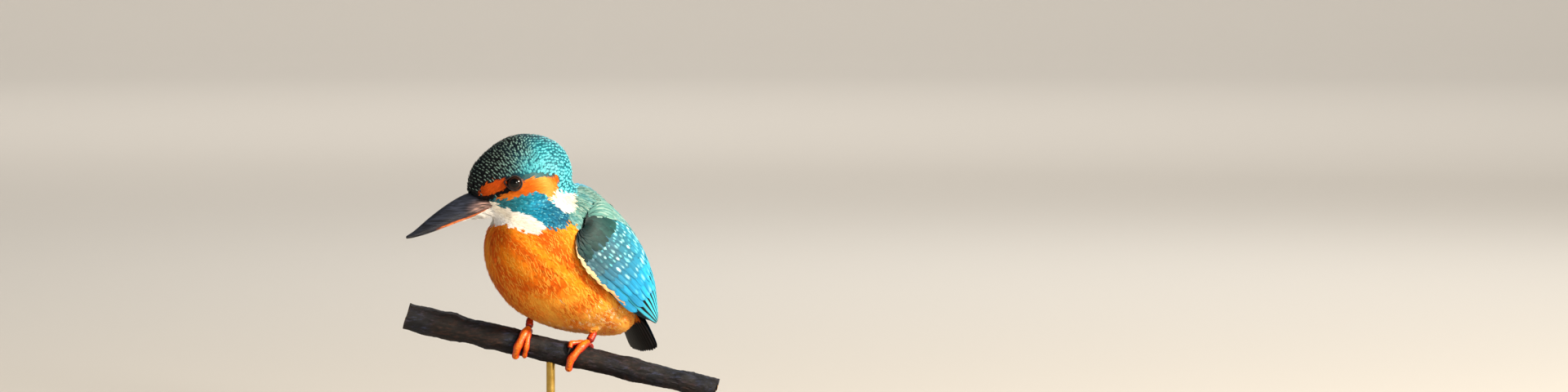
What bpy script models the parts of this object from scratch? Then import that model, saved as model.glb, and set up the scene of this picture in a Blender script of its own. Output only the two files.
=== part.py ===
"""A perched common kingfisher, a life-size still model, on a cut twig and a display stand.

Frame: +Z up, the ground at Z = 0, the stand's centre at the origin. The front of the model is -Y.
The bird faces -X, its body turned towards -Y. Lengths below are in millimetres until placed.
"""

from math import atan2, cos, pi, radians, sin, sqrt

import bmesh
import bpy
from mathutils import Matrix, Vector

MM = 0.001
GAP = 0.3  # clearance left between neighbouring pieces

# stand and perch
BASE_RADIUS = 46.0
BASE_HEIGHT = 10.0
BASE_EDGE = 1.2
ROD_RADIUS = 2.0
ROD_X = -6.0
PERCH_CENTRE_Z = 50.0
PERCH_SLANT = radians(-13.3)
PERCH_LEFT = 72.0
PERCH_RIGHT = 70.0
PERCH_RADIUS_LEFT = 6.3
PERCH_RADIUS_RIGHT = 4.7

# bird
FEET_CENTRE_X = -5.6
BODY_YAW = radians(42.0)
HEAD_YAW = radians(12.0)
HEAD_X = -16.9
HEAD_Y = -9.0
EYE_RADIUS = 3.9

# Half sizes of the body square to its spine, from the neck inside the head to the rump:
# (back of the feet, height, half width, up to the back, down to the breast)
BODY_STATIONS = (
    (-10.0, 128.0, 15.0, 17.0, 15.0),
    (-5.0, 116.5, 23.0, 25.5, 31.5),
    (1.0, 105.0, 28.5, 30.5, 37.5),
    (9.0, 91.5, 30.0, 31.5, 35.0),
    (19.0, 79.5, 28.0, 27.0, 25.5),
    (30.0, 70.0, 21.0, 18.5, 15.5),
    (39.0, 64.0, 13.5, 11.0, 9.5),
    (45.0, 60.5, 9.5, 7.0, 6.0),
)
# Half sizes of the head square to its own spine, from the bill's base back to the nape:
# (back of the head's middle, height, half width, up, down)
HEAD_STATIONS = (
    (-27.0, 119.8, 4.6, 5.4, 4.6),
    (-23.0, 122.0, 7.2, 10.8, 10.2),
    (-15.5, 126.0, 11.2, 16.6, 14.6),
    (-6.0, 129.2, 15.6, 21.4, 18.0),
    (2.0, 130.2, 17.2, 22.4, 18.0),
    (8.0, 126.2, 16.5, 20.2, 17.0),
    (12.0, 119.0, 15.0, 15.5, 15.0),
)
# The bill's sections at places forward of the head's middle: (back, culmen height, height of
# the line between the mandibles, underside height, half width), from the tip to the gape
BILL_STATIONS = (
    (-55.8, 105.1, 104.5, 103.9, 0.5),
    (-52.0, 107.5, 105.6, 104.4, 1.15),
    (-45.0, 113.4, 108.5, 106.3, 2.3),
    (-38.0, 118.6, 112.0, 108.8, 3.5),
    (-31.0, 122.8, 115.4, 111.4, 4.6),
    (-25.5, 124.8, 117.6, 113.4, 5.8),
    (-20.0, 123.8, 119.4, 115.8, 7.0),
    (-15.5, 121.8, 120.2, 117.8, 7.6),
)
# The folded left wing, from the bend to the tip: lower edge and upper edge as (back, left,
# height), how far its middle stands out from the line between them, and its thickness
WING_STATIONS = (
    ((-6.0, 25.0, 106.0), (1.0, 22.0, 113.5), 1.5, 3.0),
    ((-8.5, 28.0, 97.0), (13.0, 18.5, 119.5), 5.5, 4.2),
    ((-3.0, 30.0, 87.5), (25.5, 14.0, 114.0), 8.6, 4.8),
    ((9.5, 29.5, 78.5), (37.0, 10.0, 103.0), 9.6, 4.6),
    ((28.0, 24.0, 68.5), (47.5, 7.0, 90.0), 6.8, 3.2),
    ((46.0, 15.0, 63.5), (54.5, 4.5, 77.5), 3.0, 2.0),
    ((56.5, 8.0, 62.5), (58.5, 5.0, 67.0), 0.4, 1.1),
)
# The tail from the rump to its end: (back, height, half width, rise of the middle, thickness)
TAIL_STATIONS = (
    (41.0, 74.5, 5.0, 0.8, 5.0),
    (46.8, 67.0, 6.8, 1.0, 4.0),
    (51.0, 60.6, 8.4, 1.2, 2.6),
    (54.2, 54.6, 9.2, 1.2, 1.8),
    (57.0, 49.2, 9.4, 1.0, 1.3),
)
TAIL_CUT = (47.2, 66.0)
TAIL_CUT_PITCH = radians(20.0)
EYE_SEAT = (-7.4, 12.3, 129.4)

# The neck lies between two sloping cuts: a point of the upper one, their slope and the way it
# falls, and their distance
NECK_TOP = (-12.0, -8.0, 120.5)
NECK_SLOPE = radians(20.5)
NECK_YAW = radians(30.0)
NECK_LENGTH = 7.0

# Legs: top and lower end of the feathered thigh, half thickness at each, where the foot stands
# on the perch and how far round it the toes reach: 0 is its top, 90 its front, 180 its underside
THIGHS = {
    "left": ((9.0, -2.0, 76.0), (14.2, 3.4, 58.2), 9.5, 2.7),
    "right": ((-11.0, 8.0, 80.0), (-15.6, 3.6, 64.6), 9.0, 2.8),
}
FOOT_X = {"left": 9.8, "right": -17.6}
TARSUS_RADIUS = 1.6
FRONT_TOE_RADIUS = 1.85
SMALL_TOE_RADIUS = 1.3
CLAW_RADIUS = 0.95
CLAW_TURN = radians(34.0)
# Each toe: name, radius, run along the perch, first and last angle round it
TOES = {
    "left": (
        ("front", FRONT_TOE_RADIUS, -6.0, 4.0, 150.0),
        ("inner", SMALL_TOE_RADIUS, -7.6, 2.0, 62.0),
        ("hind", SMALL_TOE_RADIUS, 2.6, -4.0, -96.0),
    ),
    "right": (
        ("front", FRONT_TOE_RADIUS, -3.0, 4.0, 152.0),
        ("inner", SMALL_TOE_RADIUS, 0.9, 2.0, 146.0),
        ("hind", SMALL_TOE_RADIUS, 1.0, -4.0, -96.0),
    ),
}


def along(table, t):
    """The row of the table at t from 0 to 1, on a smooth curve through its rows."""
    last = len(table) - 1
    at = min(max(t, 0.0), 1.0) * last
    i = min(int(at), last - 1)
    f = at - i
    rows = [table[min(max(k, 0), last)] for k in (i - 1, i, i + 1, i + 2)]
    found = []
    for a, b, c, d in zip(*rows):
        found.append(
            b + 0.5 * f * (c - a + f * (2 * a - 5 * b + 4 * c - d + f * (3 * (b - c) + d - a)))
        )
    return found


def place(yaw, x, y):
    """The matrix from (back, left, up) to the world, for a shape that faces -X turned by yaw."""
    back = Vector((cos(yaw), sin(yaw), 0.0))
    left = Vector((sin(yaw), -cos(yaw), 0.0))
    matrix = Matrix.Identity(4)
    for column, vector in enumerate((back, left, Vector((0, 0, 1)), Vector((x, y, 0)))):
        for row in range(3):
            matrix[row][column] = vector[row]
    return matrix


BODY = place(BODY_YAW, FEET_CENTRE_X, 0.0)
HEAD = place(HEAD_YAW, HEAD_X, HEAD_Y)


def new_object(name, bm):
    """An object of the mesh, brought from millimetres to metres, facing outwards."""
    bmesh.ops.remove_doubles(bm, verts=bm.verts, dist=0.001)
    bmesh.ops.scale(bm, vec=(MM, MM, MM), verts=bm.verts)
    bmesh.ops.recalc_face_normals(bm, faces=bm.faces)
    if bm.calc_volume(signed=True) < 0:
        bmesh.ops.reverse_faces(bm, faces=bm.faces)
    mesh = bpy.data.meshes.new(name)
    bm.to_mesh(mesh)
    bm.free()
    made = bpy.data.objects.new(name, mesh)
    bpy.context.scene.collection.objects.link(made)
    return made


def blob(point, around, rows):
    """A closed mesh whose points are point(t, angle): t runs from one pole to the other."""
    bm = bmesh.new()
    bmesh.ops.create_uvsphere(bm, u_segments=around, v_segments=rows, radius=1.0)
    for vert in bm.verts:
        x, y, z = vert.co
        vert.co = point((1.0 - z) / 2.0, atan2(y, x))
    return bm


def lofted(table, matrix, around, rows, ends):
    """A rounded body through the stations of a table."""

    def point(t, angle):
        s, z, width, up, down = along(table, t)
        s0, z0 = along(table, t - 0.01)[:2]
        s1, z1 = along(table, t + 0.01)[:2]
        run = Vector((s1 - s0, 0.0, z1 - z0)).normalized()
        rise = Vector((-run.z, 0.0, run.x))
        if rise.x < 0 and abs(rise.z) < 0.2:
            rise = -rise
        near = min(t, 1.0 - t) / ends
        full = sqrt(max(0.0, 1.0 - (1.0 - min(near, 1.0)) ** 2))
        high = up if sin(angle) > 0 else down
        offset = Vector((0, 1, 0)) * width * cos(angle) + rise * high * sin(angle)
        return matrix @ (Vector((s, 0.0, z)) + offset * full)

    return blob(point, around, rows)


def apply_modifier(target, kind, **settings):
    """Adds a modifier to the object and bakes it into its mesh."""
    modifier = target.modifiers.new(kind, kind)
    for key, value in settings.items():
        setattr(modifier, key, value)
    graph = bpy.context.evaluated_depsgraph_get()
    mesh = bpy.data.meshes.new_from_object(target.evaluated_get(graph))
    target.modifiers.clear()
    old = target.data
    target.data = mesh
    mesh.name = target.name
    bpy.data.meshes.remove(old)
    return target


def copy_of(source, name):
    made = source.copy()
    made.data = source.data.copy()
    made.name = name
    bpy.context.scene.collection.objects.link(made)
    return made


def cut_away(target, piece, clearance=0.0):
    """Cuts from the target the room that the piece takes, with a clearance all round."""
    cutter = copy_of(piece, "cutter")
    bm = bmesh.new()
    bm.from_mesh(cutter.data)
    bm.normal_update()
    moves = [v.normal * clearance * MM * min(v.calc_shell_factor(), 2.5) for v in bm.verts]
    for vert, move in zip(bm.verts, moves):
        vert.co += move
    bm.to_mesh(cutter.data)
    bm.free()
    apply_modifier(target, "BOOLEAN", object=cutter, operation="DIFFERENCE", solver="EXACT")
    bpy.data.objects.remove(cutter)


def keep_main_body(bm):
    """Removes the slivers that a cut leaves apart from the main body of the mesh."""
    left = set(bm.faces)
    islands = []
    while left:
        found = [left.pop()]
        for face in found:
            for edge in face.edges:
                for other in edge.link_faces:
                    if other in left:
                        left.remove(other)
                        found.append(other)
        islands.append(found)
    islands.sort(key=len)
    doomed = [face for island in islands[:-1] for face in island]
    bmesh.ops.delete(bm, geom=doomed, context="FACES")


def clipped(source, name, centre, normal):
    """A copy of the source holding only what lies past the plane, its cut face filled."""
    made = copy_of(source, name)
    bm = bmesh.new()
    bm.from_mesh(made.data)
    cut = bmesh.ops.bisect_plane(
        bm, geom=bm.verts[:] + bm.edges[:] + bm.faces[:], dist=1e-7,
        plane_co=Vector(centre) * MM, plane_no=normal, clear_inner=True,
    )
    edges = [e for e in cut["geom_cut"] if isinstance(e, bmesh.types.BMEdge)]
    bmesh.ops.holes_fill(bm, edges=edges)
    keep_main_body(bm)
    bmesh.ops.recalc_face_normals(bm, faces=bm.faces)
    bm.to_mesh(made.data)
    bm.free()
    return made


bpy.context.preferences.edit.use_global_undo = False
for thing in list(bpy.data.objects):
    bpy.data.objects.remove(thing)

def blade(stations, matrix, around, rows, ends=0.08, side=1.0):
    """A thin bowed plate through the stations, a lens with blunt edges in section."""
    table = [(*low, *high, bow, thick) for low, high, bow, thick in stations]

    def edges(t):
        row = along(table, t)
        low, high = Vector(row[0:3]), Vector(row[3:6])
        low.y *= side
        high.y *= side
        return low, high, row[6], row[7]

    def point(t, angle):
        low, high, bow, thick = edges(t)
        before, after = edges(t - 0.01), edges(t + 0.01)
        run = (after[0] + after[1] - before[0] - before[1]).normalized()
        across = high - low
        out = across.cross(run).normalized() * side
        near = min(t, 1.0 - t) / ends
        full = sqrt(max(0.0, 1.0 - (1.0 - min(near, 1.0)) ** 2))
        c, h = cos(angle), sin(angle)
        blunt = abs(h) ** 0.6 * (1.0 if h > 0 else -1.0)
        offset = across * 0.5 * c + out * (bow * (1.0 - c * c) + thick * 0.5 * blunt)
        return matrix @ ((low + high) / 2.0 + offset * full)

    return blob(point, around, rows)


def beak(upper, lower):
    """The mandibles named, as one closed form: a roof over the line of the gape, a keel below."""

    def point(t, angle):
        back, top, middle, bottom, width = along(BILL_STATIONS, t)
        near = min((1.0 - t) / 0.08, t / 0.03)
        full = sqrt(max(0.0, 1.0 - (1.0 - min(near, 1.0)) ** 2))
        c, h = cos(angle), sin(angle)
        roof = abs(h) ** 1.15 * (top - middle) if upper else -GAP / 2.0
        keel = abs(h) ** 0.9 * (middle - bottom) if lower else -GAP / 2.0
        height = middle + (roof if h > 0 else -keel) * full
        return HEAD @ Vector((back, width * c * full, height))

    return blob(point, 16, 14)


def tube(path, radius, around, rows):
    """A round rod with rounded ends along path(t), its radius radius(t)."""

    def point(t, angle):
        run = (path(t + 0.01) - path(t - 0.01)).normalized()
        side = run.cross(Vector((0.0, 0.94, 0.34))).normalized()
        other = run.cross(side)
        length = (path(1.0) - path(0.0)).length
        near = min(t, 1.0 - t) * length / radius(t)
        full = sqrt(max(0.0, 1.0 - (1.0 - min(near, 1.0)) ** 2))
        size = radius(t) * full
        return path(t) + side * size * cos(angle) + other * size * sin(angle)

    return blob(point, around, rows)


# flesh: one form from the head to the rump, made even all over and parted further down
flesh_forms = lofted(BODY_STATIONS, BODY, 48, 40, ends=0.16)
head_form = lofted(HEAD_STATIONS, HEAD, 44, 36, ends=0.3)
joined = bpy.data.meshes.new("joined")
head_form.to_mesh(joined)
head_form.free()
flesh_forms.from_mesh(joined)
flesh = new_object("flesh", flesh_forms)
apply_modifier(flesh, "REMESH", mode="VOXEL", voxel_size=1.0 * MM)
apply_modifier(flesh, "SMOOTH", factor=0.7, iterations=24)
apply_modifier(flesh, "DECIMATE", ratio=0.035)

# bill
new_object("bill_upper", beak(True, False))
new_object("bill_lower", beak(False, True))
whole_bill = new_object("whole_bill", beak(True, True))
cut_away(flesh, whole_bill, GAP)
bpy.data.objects.remove(whole_bill)

# eyes
for name, side in (("left", 1.0), ("right", -1.0)):
    seat = HEAD @ Vector((EYE_SEAT[0], EYE_SEAT[1] * side, EYE_SEAT[2]))
    bm = bmesh.new()
    bmesh.ops.create_uvsphere(
        bm, u_segments=16, v_segments=10, radius=EYE_RADIUS, matrix=Matrix.Translation(seat)
    )
    cut_away(flesh, new_object("eye_" + name, bm), GAP)

# wings
for name, side in (("left", 1.0), ("right", -1.0)):
    wing = new_object("wing_" + name, blade(WING_STATIONS, BODY, 18, 17, side=side))
    cut_away(flesh, wing, GAP)

# tail
TAIL = [((s, -w, z), (s, w, z), rise, thick) for s, z, w, rise, thick in TAIL_STATIONS]
tail_whole = new_object("tail_whole", blade(TAIL, BODY, 16, 12, ends=0.12))
for name in ("wing_left", "wing_right"):
    cut_away(tail_whole, bpy.data.objects[name], GAP)
rump_point = BODY @ Vector((TAIL_CUT[0], 0.0, TAIL_CUT[1]))
rump_way = BODY.to_3x3() @ Vector((cos(TAIL_CUT_PITCH), 0.0, -sin(TAIL_CUT_PITCH)))
clipped(tail_whole, "tail", rump_point + rump_way * GAP, rump_way)
bpy.data.objects.remove(tail_whole)


# perch: a cut length of twig, and the place of a point round it
def bark(x, angle):
    """The twig's radius at x and an angle round it, with the swellings of its bark."""
    t = (x + PERCH_LEFT) / (PERCH_LEFT + PERCH_RIGHT)
    radius = PERCH_RADIUS_LEFT + (PERCH_RADIUS_RIGHT - PERCH_RADIUS_LEFT) * t
    swell = 0.22 * sin(0.21 * x + 1.0) + 0.16 * sin(0.47 * x + 2.0 * angle)
    return radius + swell + 0.14 * sin(3.0 * angle + 0.13 * x)


def on_perch(x, angle, lift):
    """The point at this lift over the bark, angle 0 at the top and a quarter turn in front."""
    along_it = Vector((cos(PERCH_SLANT), 0.0, sin(PERCH_SLANT)))
    over = Vector((-sin(PERCH_SLANT), 0.0, cos(PERCH_SLANT)))
    away = over * cos(angle) - Vector((0.0, 1.0, 0.0)) * sin(angle)
    axis = Vector((0.0, 0.0, PERCH_CENTRE_Z)) + along_it * (x / cos(PERCH_SLANT))
    return axis + away * (bark(x, angle) + lift)


bm = bmesh.new()
bmesh.ops.create_cone(bm, cap_ends=True, segments=14, radius1=1.0, radius2=1.0, depth=2.0)
sides = [e for e in bm.edges if abs(e.verts[0].co.z - e.verts[1].co.z) > 1.0]
bmesh.ops.subdivide_edges(bm, edges=sides, cuts=12)
for vert in bm.verts:
    t = (vert.co.z + 1.0) / 2.0
    x = -PERCH_LEFT + (PERCH_LEFT + PERCH_RIGHT) * t
    vert.co = on_perch(x, atan2(vert.co.y, vert.co.x), 0.0)
perch = new_object("perch", bm)

# legs and feet
for name, side in (("left", 1.0), ("right", -1.0)):
    high, low, wide, narrow = THIGHS[name]
    high, low = Vector(high), Vector(low)

    def thigh_path(t, high=high, low=low):
        return high + (low - high) * t

    def thigh_radius(t, wide=wide, narrow=narrow):
        return wide + (narrow - wide) * max(0.0, min(1.0, t)) ** 0.8

    thigh = new_object("thigh_" + name, tube(thigh_path, thigh_radius, 12, 8))
    cut_away(flesh, thigh, GAP)

    foot_x = FOOT_X[name]
    ankle = on_perch(foot_x, 0.0, GAP + FRONT_TOE_RADIUS + 0.15)

    def shank_path(t, low=low, ankle=ankle):
        return low + (ankle - low) * t

    def shank_radius(t):
        return TARSUS_RADIUS + 0.15 * t

    shank = new_object("shank_" + name, tube(shank_path, shank_radius, 10, 6))
    cut_away(shank, thigh, GAP)
    placed = [shank]
    for toe, size, shift, first, last in TOES[name]:

        def toe_path(t, size=size, shift=shift, first=radians(first), last=radians(last), x=foot_x):
            run = min(1.0, max(0.0, t) * 1.5)
            return on_perch(x + shift * run, first + (last - first) * t, GAP + 0.15 + size)

        def toe_radius(t, size=size):
            return size * (1.0 - 0.18 * t)

        made = new_object("toe_" + toe + "_" + name, tube(toe_path, toe_radius, 9, 9))
        for other in placed:
            cut_away(made, other, GAP)
        placed.append(made)

        def claw_path(t, shift=shift, last=radians(last), x=foot_x, size=size):
            turn = CLAW_TURN if last > 0 else -CLAW_TURN
            lift = GAP + 0.15 + size - 0.3 * t
            return on_perch(x + shift, last - turn * 0.25 + turn * 1.1 * t, lift)

        def claw_radius(t):
            return CLAW_RADIUS * (1.0 - 0.65 * max(0.0, min(1.0, t)))

        claw = new_object("claw_" + toe + "_" + name, tube(claw_path, claw_radius, 7, 7))
        cut_away(claw, made, GAP)

# stand
bm = bmesh.new()
bmesh.ops.create_cone(
    bm, cap_ends=True, segments=44, radius1=BASE_RADIUS, radius2=BASE_RADIUS, depth=BASE_HEIGHT,
    matrix=Matrix.Translation((0.0, 0.0, BASE_HEIGHT / 2.0)),
)
rim = [e for e in bm.edges if all(v.co.z > BASE_HEIGHT - 0.1 for v in e.verts)]
bmesh.ops.bevel(
    bm, geom=rim, offset=BASE_EDGE, offset_type="OFFSET", segments=2, profile=0.5,
    affect="EDGES", material=-1,
)
base = new_object("stand_base", bm)


def rod(name, bottom, top, radius):
    bm = bmesh.new()
    bmesh.ops.create_cone(
        bm, cap_ends=True, segments=20, radius1=radius, radius2=radius, depth=top - bottom,
        matrix=Matrix.Translation((ROD_X, 0.0, (bottom + top) / 2.0)),
    )
    return new_object(name, bm)


rod_top = PERCH_CENTRE_Z - 2.5
rod("stand_rod", BASE_HEIGHT - 6.0 + GAP, rod_top - GAP, ROD_RADIUS)
for holed, bottom, top in ((base, BASE_HEIGHT - 6.0, 20.0), (perch, 30.0, rod_top)):
    drill = rod("drill", bottom, top, ROD_RADIUS + GAP)
    cut_away(holed, drill)
    bpy.data.objects.remove(drill)

# the flesh parted into head, neck and trunk
fall = sin(NECK_SLOPE)
up_the_neck = Vector((-fall * cos(NECK_YAW), -fall * sin(NECK_YAW), cos(NECK_SLOPE)))
neck_top = Vector(NECK_TOP)
neck_end = neck_top - up_the_neck * NECK_LENGTH
clipped(flesh, "head", neck_top + up_the_neck * GAP / 2.0, up_the_neck)
above = clipped(flesh, "above", neck_end + up_the_neck * GAP / 2.0, up_the_neck)
clipped(above, "neck", neck_top - up_the_neck * GAP / 2.0, -up_the_neck)
below = clipped(flesh, "below", neck_end - up_the_neck * GAP / 2.0, -up_the_neck)
clipped(below, "trunk", rump_point, -rump_way)
for helper in (flesh, above, below):
    bpy.data.objects.remove(helper)


# each piece its own material: the start of its name picks the colour, linear, and roughness
COLOURS = (
    ("head", (0.035, 0.16, 0.20), 0.6),
    ("neck", (0.55, 0.30, 0.14), 0.7),
    ("trunk", (0.78, 0.22, 0.02), 0.7),
    ("wing", (0.03, 0.26, 0.36), 0.5),
    ("tail", (0.02, 0.03, 0.04), 0.5),
    ("thigh", (0.78, 0.30, 0.06), 0.7),
    ("shank", (0.80, 0.14, 0.02), 0.45),
    ("toe", (0.80, 0.12, 0.02), 0.45),
    ("claw", (0.02, 0.018, 0.016), 0.35),
    ("bill", (0.035, 0.032, 0.04), 0.35),
    ("eye", (0.012, 0.008, 0.006), 0.08),
    ("perch", (0.035, 0.025, 0.02), 0.85),
    ("stand_base", (0.14, 0.07, 0.035), 0.4),
    ("stand_rod", (0.55, 0.42, 0.20), 0.3),
)
for start, colour, roughness in COLOURS:
    for piece in [o for o in bpy.data.objects if o.name.startswith(start)]:
        material = bpy.data.materials.new(piece.name + "_look")
        material.use_nodes = True
        shader = material.node_tree.nodes["Principled BSDF"]
        shader.inputs["Base Color"].default_value = (*colour, 1.0)
        shader.inputs["Roughness"].default_value = roughness
        shader.inputs["Metallic"].default_value = 1.0 if start == "stand_rod" else 0.0
        material.diffuse_color = (*colour, 1.0)
        piece.data.materials.clear()
        piece.data.materials.append(material)

# each piece's own origin goes to its middle, and one empty at the frame's origin carries them all
model = bpy.data.objects.new("kingfisher", None)
bpy.context.scene.collection.objects.link(model)
for piece in [o for o in bpy.data.objects if o.type == "MESH"]:
    corners = [Vector(corner) for corner in piece.bound_box]
    middle = sum(corners, Vector()) / len(corners)
    piece.data.transform(Matrix.Translation(-middle))
    piece.data.shade_smooth()
    piece.data.set_sharp_from_angle(angle=radians(42.0))
    piece.location = middle
    piece.parent = model
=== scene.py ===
"""A perched common kingfisher on its display stand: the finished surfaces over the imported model.

+Z is up and the front of the model is -Y. Lengths are in millimetres until a piece is finished.
"""

from math import acos, atan2, cos, pi, radians, sin, sqrt

import bmesh
import bpy
import numpy as np
from mathutils import Matrix, Vector, noise
from mathutils.bvhtree import BVHTree


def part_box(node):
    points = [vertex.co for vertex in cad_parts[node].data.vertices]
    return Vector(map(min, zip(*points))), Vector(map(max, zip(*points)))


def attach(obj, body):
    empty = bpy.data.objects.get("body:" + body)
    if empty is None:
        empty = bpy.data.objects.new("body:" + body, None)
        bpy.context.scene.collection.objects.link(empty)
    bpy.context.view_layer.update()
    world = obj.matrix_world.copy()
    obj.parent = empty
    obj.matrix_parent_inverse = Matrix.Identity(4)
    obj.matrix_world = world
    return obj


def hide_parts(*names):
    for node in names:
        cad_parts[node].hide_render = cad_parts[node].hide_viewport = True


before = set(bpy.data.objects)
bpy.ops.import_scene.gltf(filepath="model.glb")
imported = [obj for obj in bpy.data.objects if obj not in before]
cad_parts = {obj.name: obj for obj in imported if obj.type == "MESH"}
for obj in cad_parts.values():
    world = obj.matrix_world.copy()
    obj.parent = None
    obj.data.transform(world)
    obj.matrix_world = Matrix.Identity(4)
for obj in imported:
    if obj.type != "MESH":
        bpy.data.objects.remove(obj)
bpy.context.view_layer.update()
MM = 0.001


# Stand base. A turned disc of walnut that carries the twig on its rod. Its edge is rounded, a
# shallow step runs round the top, and the wood is sanded and varnished to a satin shine.
def linear(code):
    """The linear colour of an sRGB hex value such as "#3b2314"."""
    parts = [int(code[i : i + 2], 16) / 255.0 for i in (1, 3, 5)]
    return np.array([p / 12.92 if p <= 0.04045 else ((p + 0.055) / 1.055) ** 2.4 for p in parts])


def add(tree, kind, inputs=(), stops=(), out=0, **settings):
    """Adds a node with its settings and gives its output. inputs holds each input's value or the
    socket to link to it, and stops a ramp's places and colours."""
    made = tree.nodes.new("ShaderNode" + kind)
    for key, value in settings.items():
        setattr(made, key, value)
    for key, value in dict(inputs).items():
        if isinstance(value, bpy.types.NodeSocket):
            tree.links.new(value, made.inputs[key])
        else:
            made.inputs[key].default_value = value
    for i, (place, code) in enumerate(stops):
        ramp = made.color_ramp.elements
        stop = ramp[i] if i < 2 else ramp.new(place)
        stop.position = place
        stop.color = (*linear(code), 1.0)
    return made.outputs[out]


def finish_of(name, **values):
    """A new material, its node tree and its shader, with values set on the shader's sockets."""
    made = bpy.data.materials.new(name)
    made.use_nodes = True
    shader = made.node_tree.nodes["Principled BSDF"]
    for key, value in values.items():
        shader.inputs[key.replace("_", " ")].default_value = value
    return made, made.node_tree, shader


def feed(shader, **sockets):
    """Links each socket to the shader's input of that name."""
    for key, socket in sockets.items():
        shader.id_data.links.new(socket, shader.inputs[key.replace("_", " ")])


def shown(name, mesh, finish):
    """A new object of the scene, of this mesh and material."""
    mesh.materials.append(finish)
    piece = bpy.data.objects.new(name, mesh)
    bpy.context.scene.collection.objects.link(piece)
    return piece


def done(name, bm, finish, slot, *nodes):
    """The finished piece of a mesh in millimetres, facing outwards, that stands for CAD nodes."""
    bmesh.ops.remove_doubles(bm, verts=bm.verts, dist=0.001)
    bmesh.ops.scale(bm, vec=(MM, MM, MM), verts=bm.verts)
    bmesh.ops.recalc_face_normals(bm, faces=bm.faces)
    mesh = bpy.data.meshes.new(name)
    bm.to_mesh(mesh)
    bm.free()
    mesh.shade_smooth()
    mesh.set_sharp_from_angle(angle=radians(50.0))
    piece = shown(name, mesh, finish)
    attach(piece, "root")
    if nodes:
        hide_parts(*nodes)
    return piece


def cad_size(node):
    """The lowest and highest corner of a CAD node, in millimetres."""
    return [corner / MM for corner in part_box(node)]


# Varnished walnut: growth bands about 6 mm apart, fine pores, and a clear coat over them.
walnut, tree, shader = finish_of("varnished_walnut", Coat_Weight=0.5, Coat_Roughness=0.18)
place = add(tree, "TexCoord", out="Object")
turned = add(tree, "Mapping", {"Vector": place, "Scale": (1.0, 0.16, 1.0)})
bands = add(
    tree, "TexWave", {"Vector": turned, "Scale": 52.0, "Distortion": 5.0, "Detail": 3.0}, out="Fac"
)
pores = add(tree, "TexNoise", {"Vector": turned, "Scale": 1500.0, "Detail": 2.0})
grain = add(tree, "Math", {0: bands, 1: pores}, operation="MULTIPLY")
colour = add(
    tree, "ValToRGB", {"Fac": grain}, ((0.05, "#2e1a0f"), (0.6, "#6b4327"), (0.35, "#50301b"))
)
sheen = add(tree, "MapRange", {"Value": pores, "To Min": 0.3, "To Max": 0.5})
relief = add(tree, "Bump", {"Height": grain, "Strength": 0.12, "Distance": 0.0002})
feed(shader, Base_Color=colour, Roughness=sheen, Normal=relief)

low, high = cad_size("stand_base")
BASE_RADIUS = (high.x - low.x) / 2.0
BASE_HEIGHT = high.z
BASE_STEP = 0.9
BASE_RIM = 4.0
bm = bmesh.new()
bmesh.ops.create_circle(bm, cap_ends=True, segments=128, radius=BASE_RADIUS)
top = bmesh.ops.extrude_face_region(bm, geom=bm.faces[:])["geom"]
raised = [v for v in top if isinstance(v, bmesh.types.BMVert)]
bmesh.ops.translate(bm, vec=(0, 0, BASE_HEIGHT - BASE_STEP), verts=raised)
crown = [f for f in top if isinstance(f, bmesh.types.BMFace)]
bmesh.ops.inset_region(bm, faces=crown, thickness=BASE_RIM)
bmesh.ops.inset_region(bm, faces=crown, thickness=1.2, depth=BASE_STEP)
edges = [
    e for e in bm.edges
    if abs(e.verts[0].co.z - e.verts[1].co.z) < 1e-4 and len(e.link_faces) == 2
    and e.calc_face_angle() > 0.4 and e.verts[0].co.z > 1.0
]
bmesh.ops.bevel(
    bm, geom=edges, offset=0.8, offset_type="OFFSET", segments=4, profile=0.5,
    affect="EDGES", material=-1,
)
done("stand_base_turned", bm, walnut, "stand_wood", "stand_base")


# Stand rod. A drawn brass rod, 4 mm thick, set in the base with a small turned collar and let
# into the twig from below, polished along its length and lacquered.

# Polished brass: a metal with long fine draw lines and a faint dulling between them.
brass, tree, shader = finish_of("polished_brass", Metallic=1.0)
place = add(tree, "TexCoord", out="Object")
drawn = add(tree, "Mapping", {"Vector": place, "Scale": (1.0, 1.0, 0.03)})
lines = add(tree, "TexNoise", {"Vector": drawn, "Scale": 3500.0, "Detail": 3.0})
clouds = add(tree, "TexNoise", {"Vector": place, "Scale": 220.0, "Detail": 3.0})
colour = add(tree, "ValToRGB", {"Fac": clouds}, ((0.3, "#b8923f"), (0.75, "#d9b766")))
dull = add(tree, "MapRange", {"Value": lines, "To Min": 0.16, "To Max": 0.34})
feed(shader, Base_Color=colour, Roughness=dull)

low, high = cad_size("stand_rod")
ROD_RADIUS = (high.x - low.x) / 2.0
ROD_MIDDLE = (low + high) / 2.0
# The collar's profile, from the rod out to the base: (radius, rise)
COLLAR = ((ROD_RADIUS, 3.2), (3.4, 3.0), (4.0, 2.2), (4.2, 0.9), (4.6, 0.5), (4.6, 0.0))
bm = bmesh.new()
bmesh.ops.create_cone(
    bm, cap_ends=True, segments=40, radius1=ROD_RADIUS, radius2=ROD_RADIUS, depth=high.z - low.z,
    matrix=Matrix.Translation(ROD_MIDDLE),
)
profile = [
    bm.verts.new((ROD_MIDDLE.x + radius, ROD_MIDDLE.y, BASE_HEIGHT + rise))
    for radius, rise in COLLAR
]
edges = [bm.edges.new(pair) for pair in zip(profile, profile[1:])]
bmesh.ops.spin(
    bm, geom=profile + edges, cent=(ROD_MIDDLE.x, ROD_MIDDLE.y, 0), axis=(0, 0, 1), angle=2 * pi,
    steps=40, use_merge=True,
)
done("stand_rod_polished", bm, brass, "stand_brass", "stand_rod")


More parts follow.
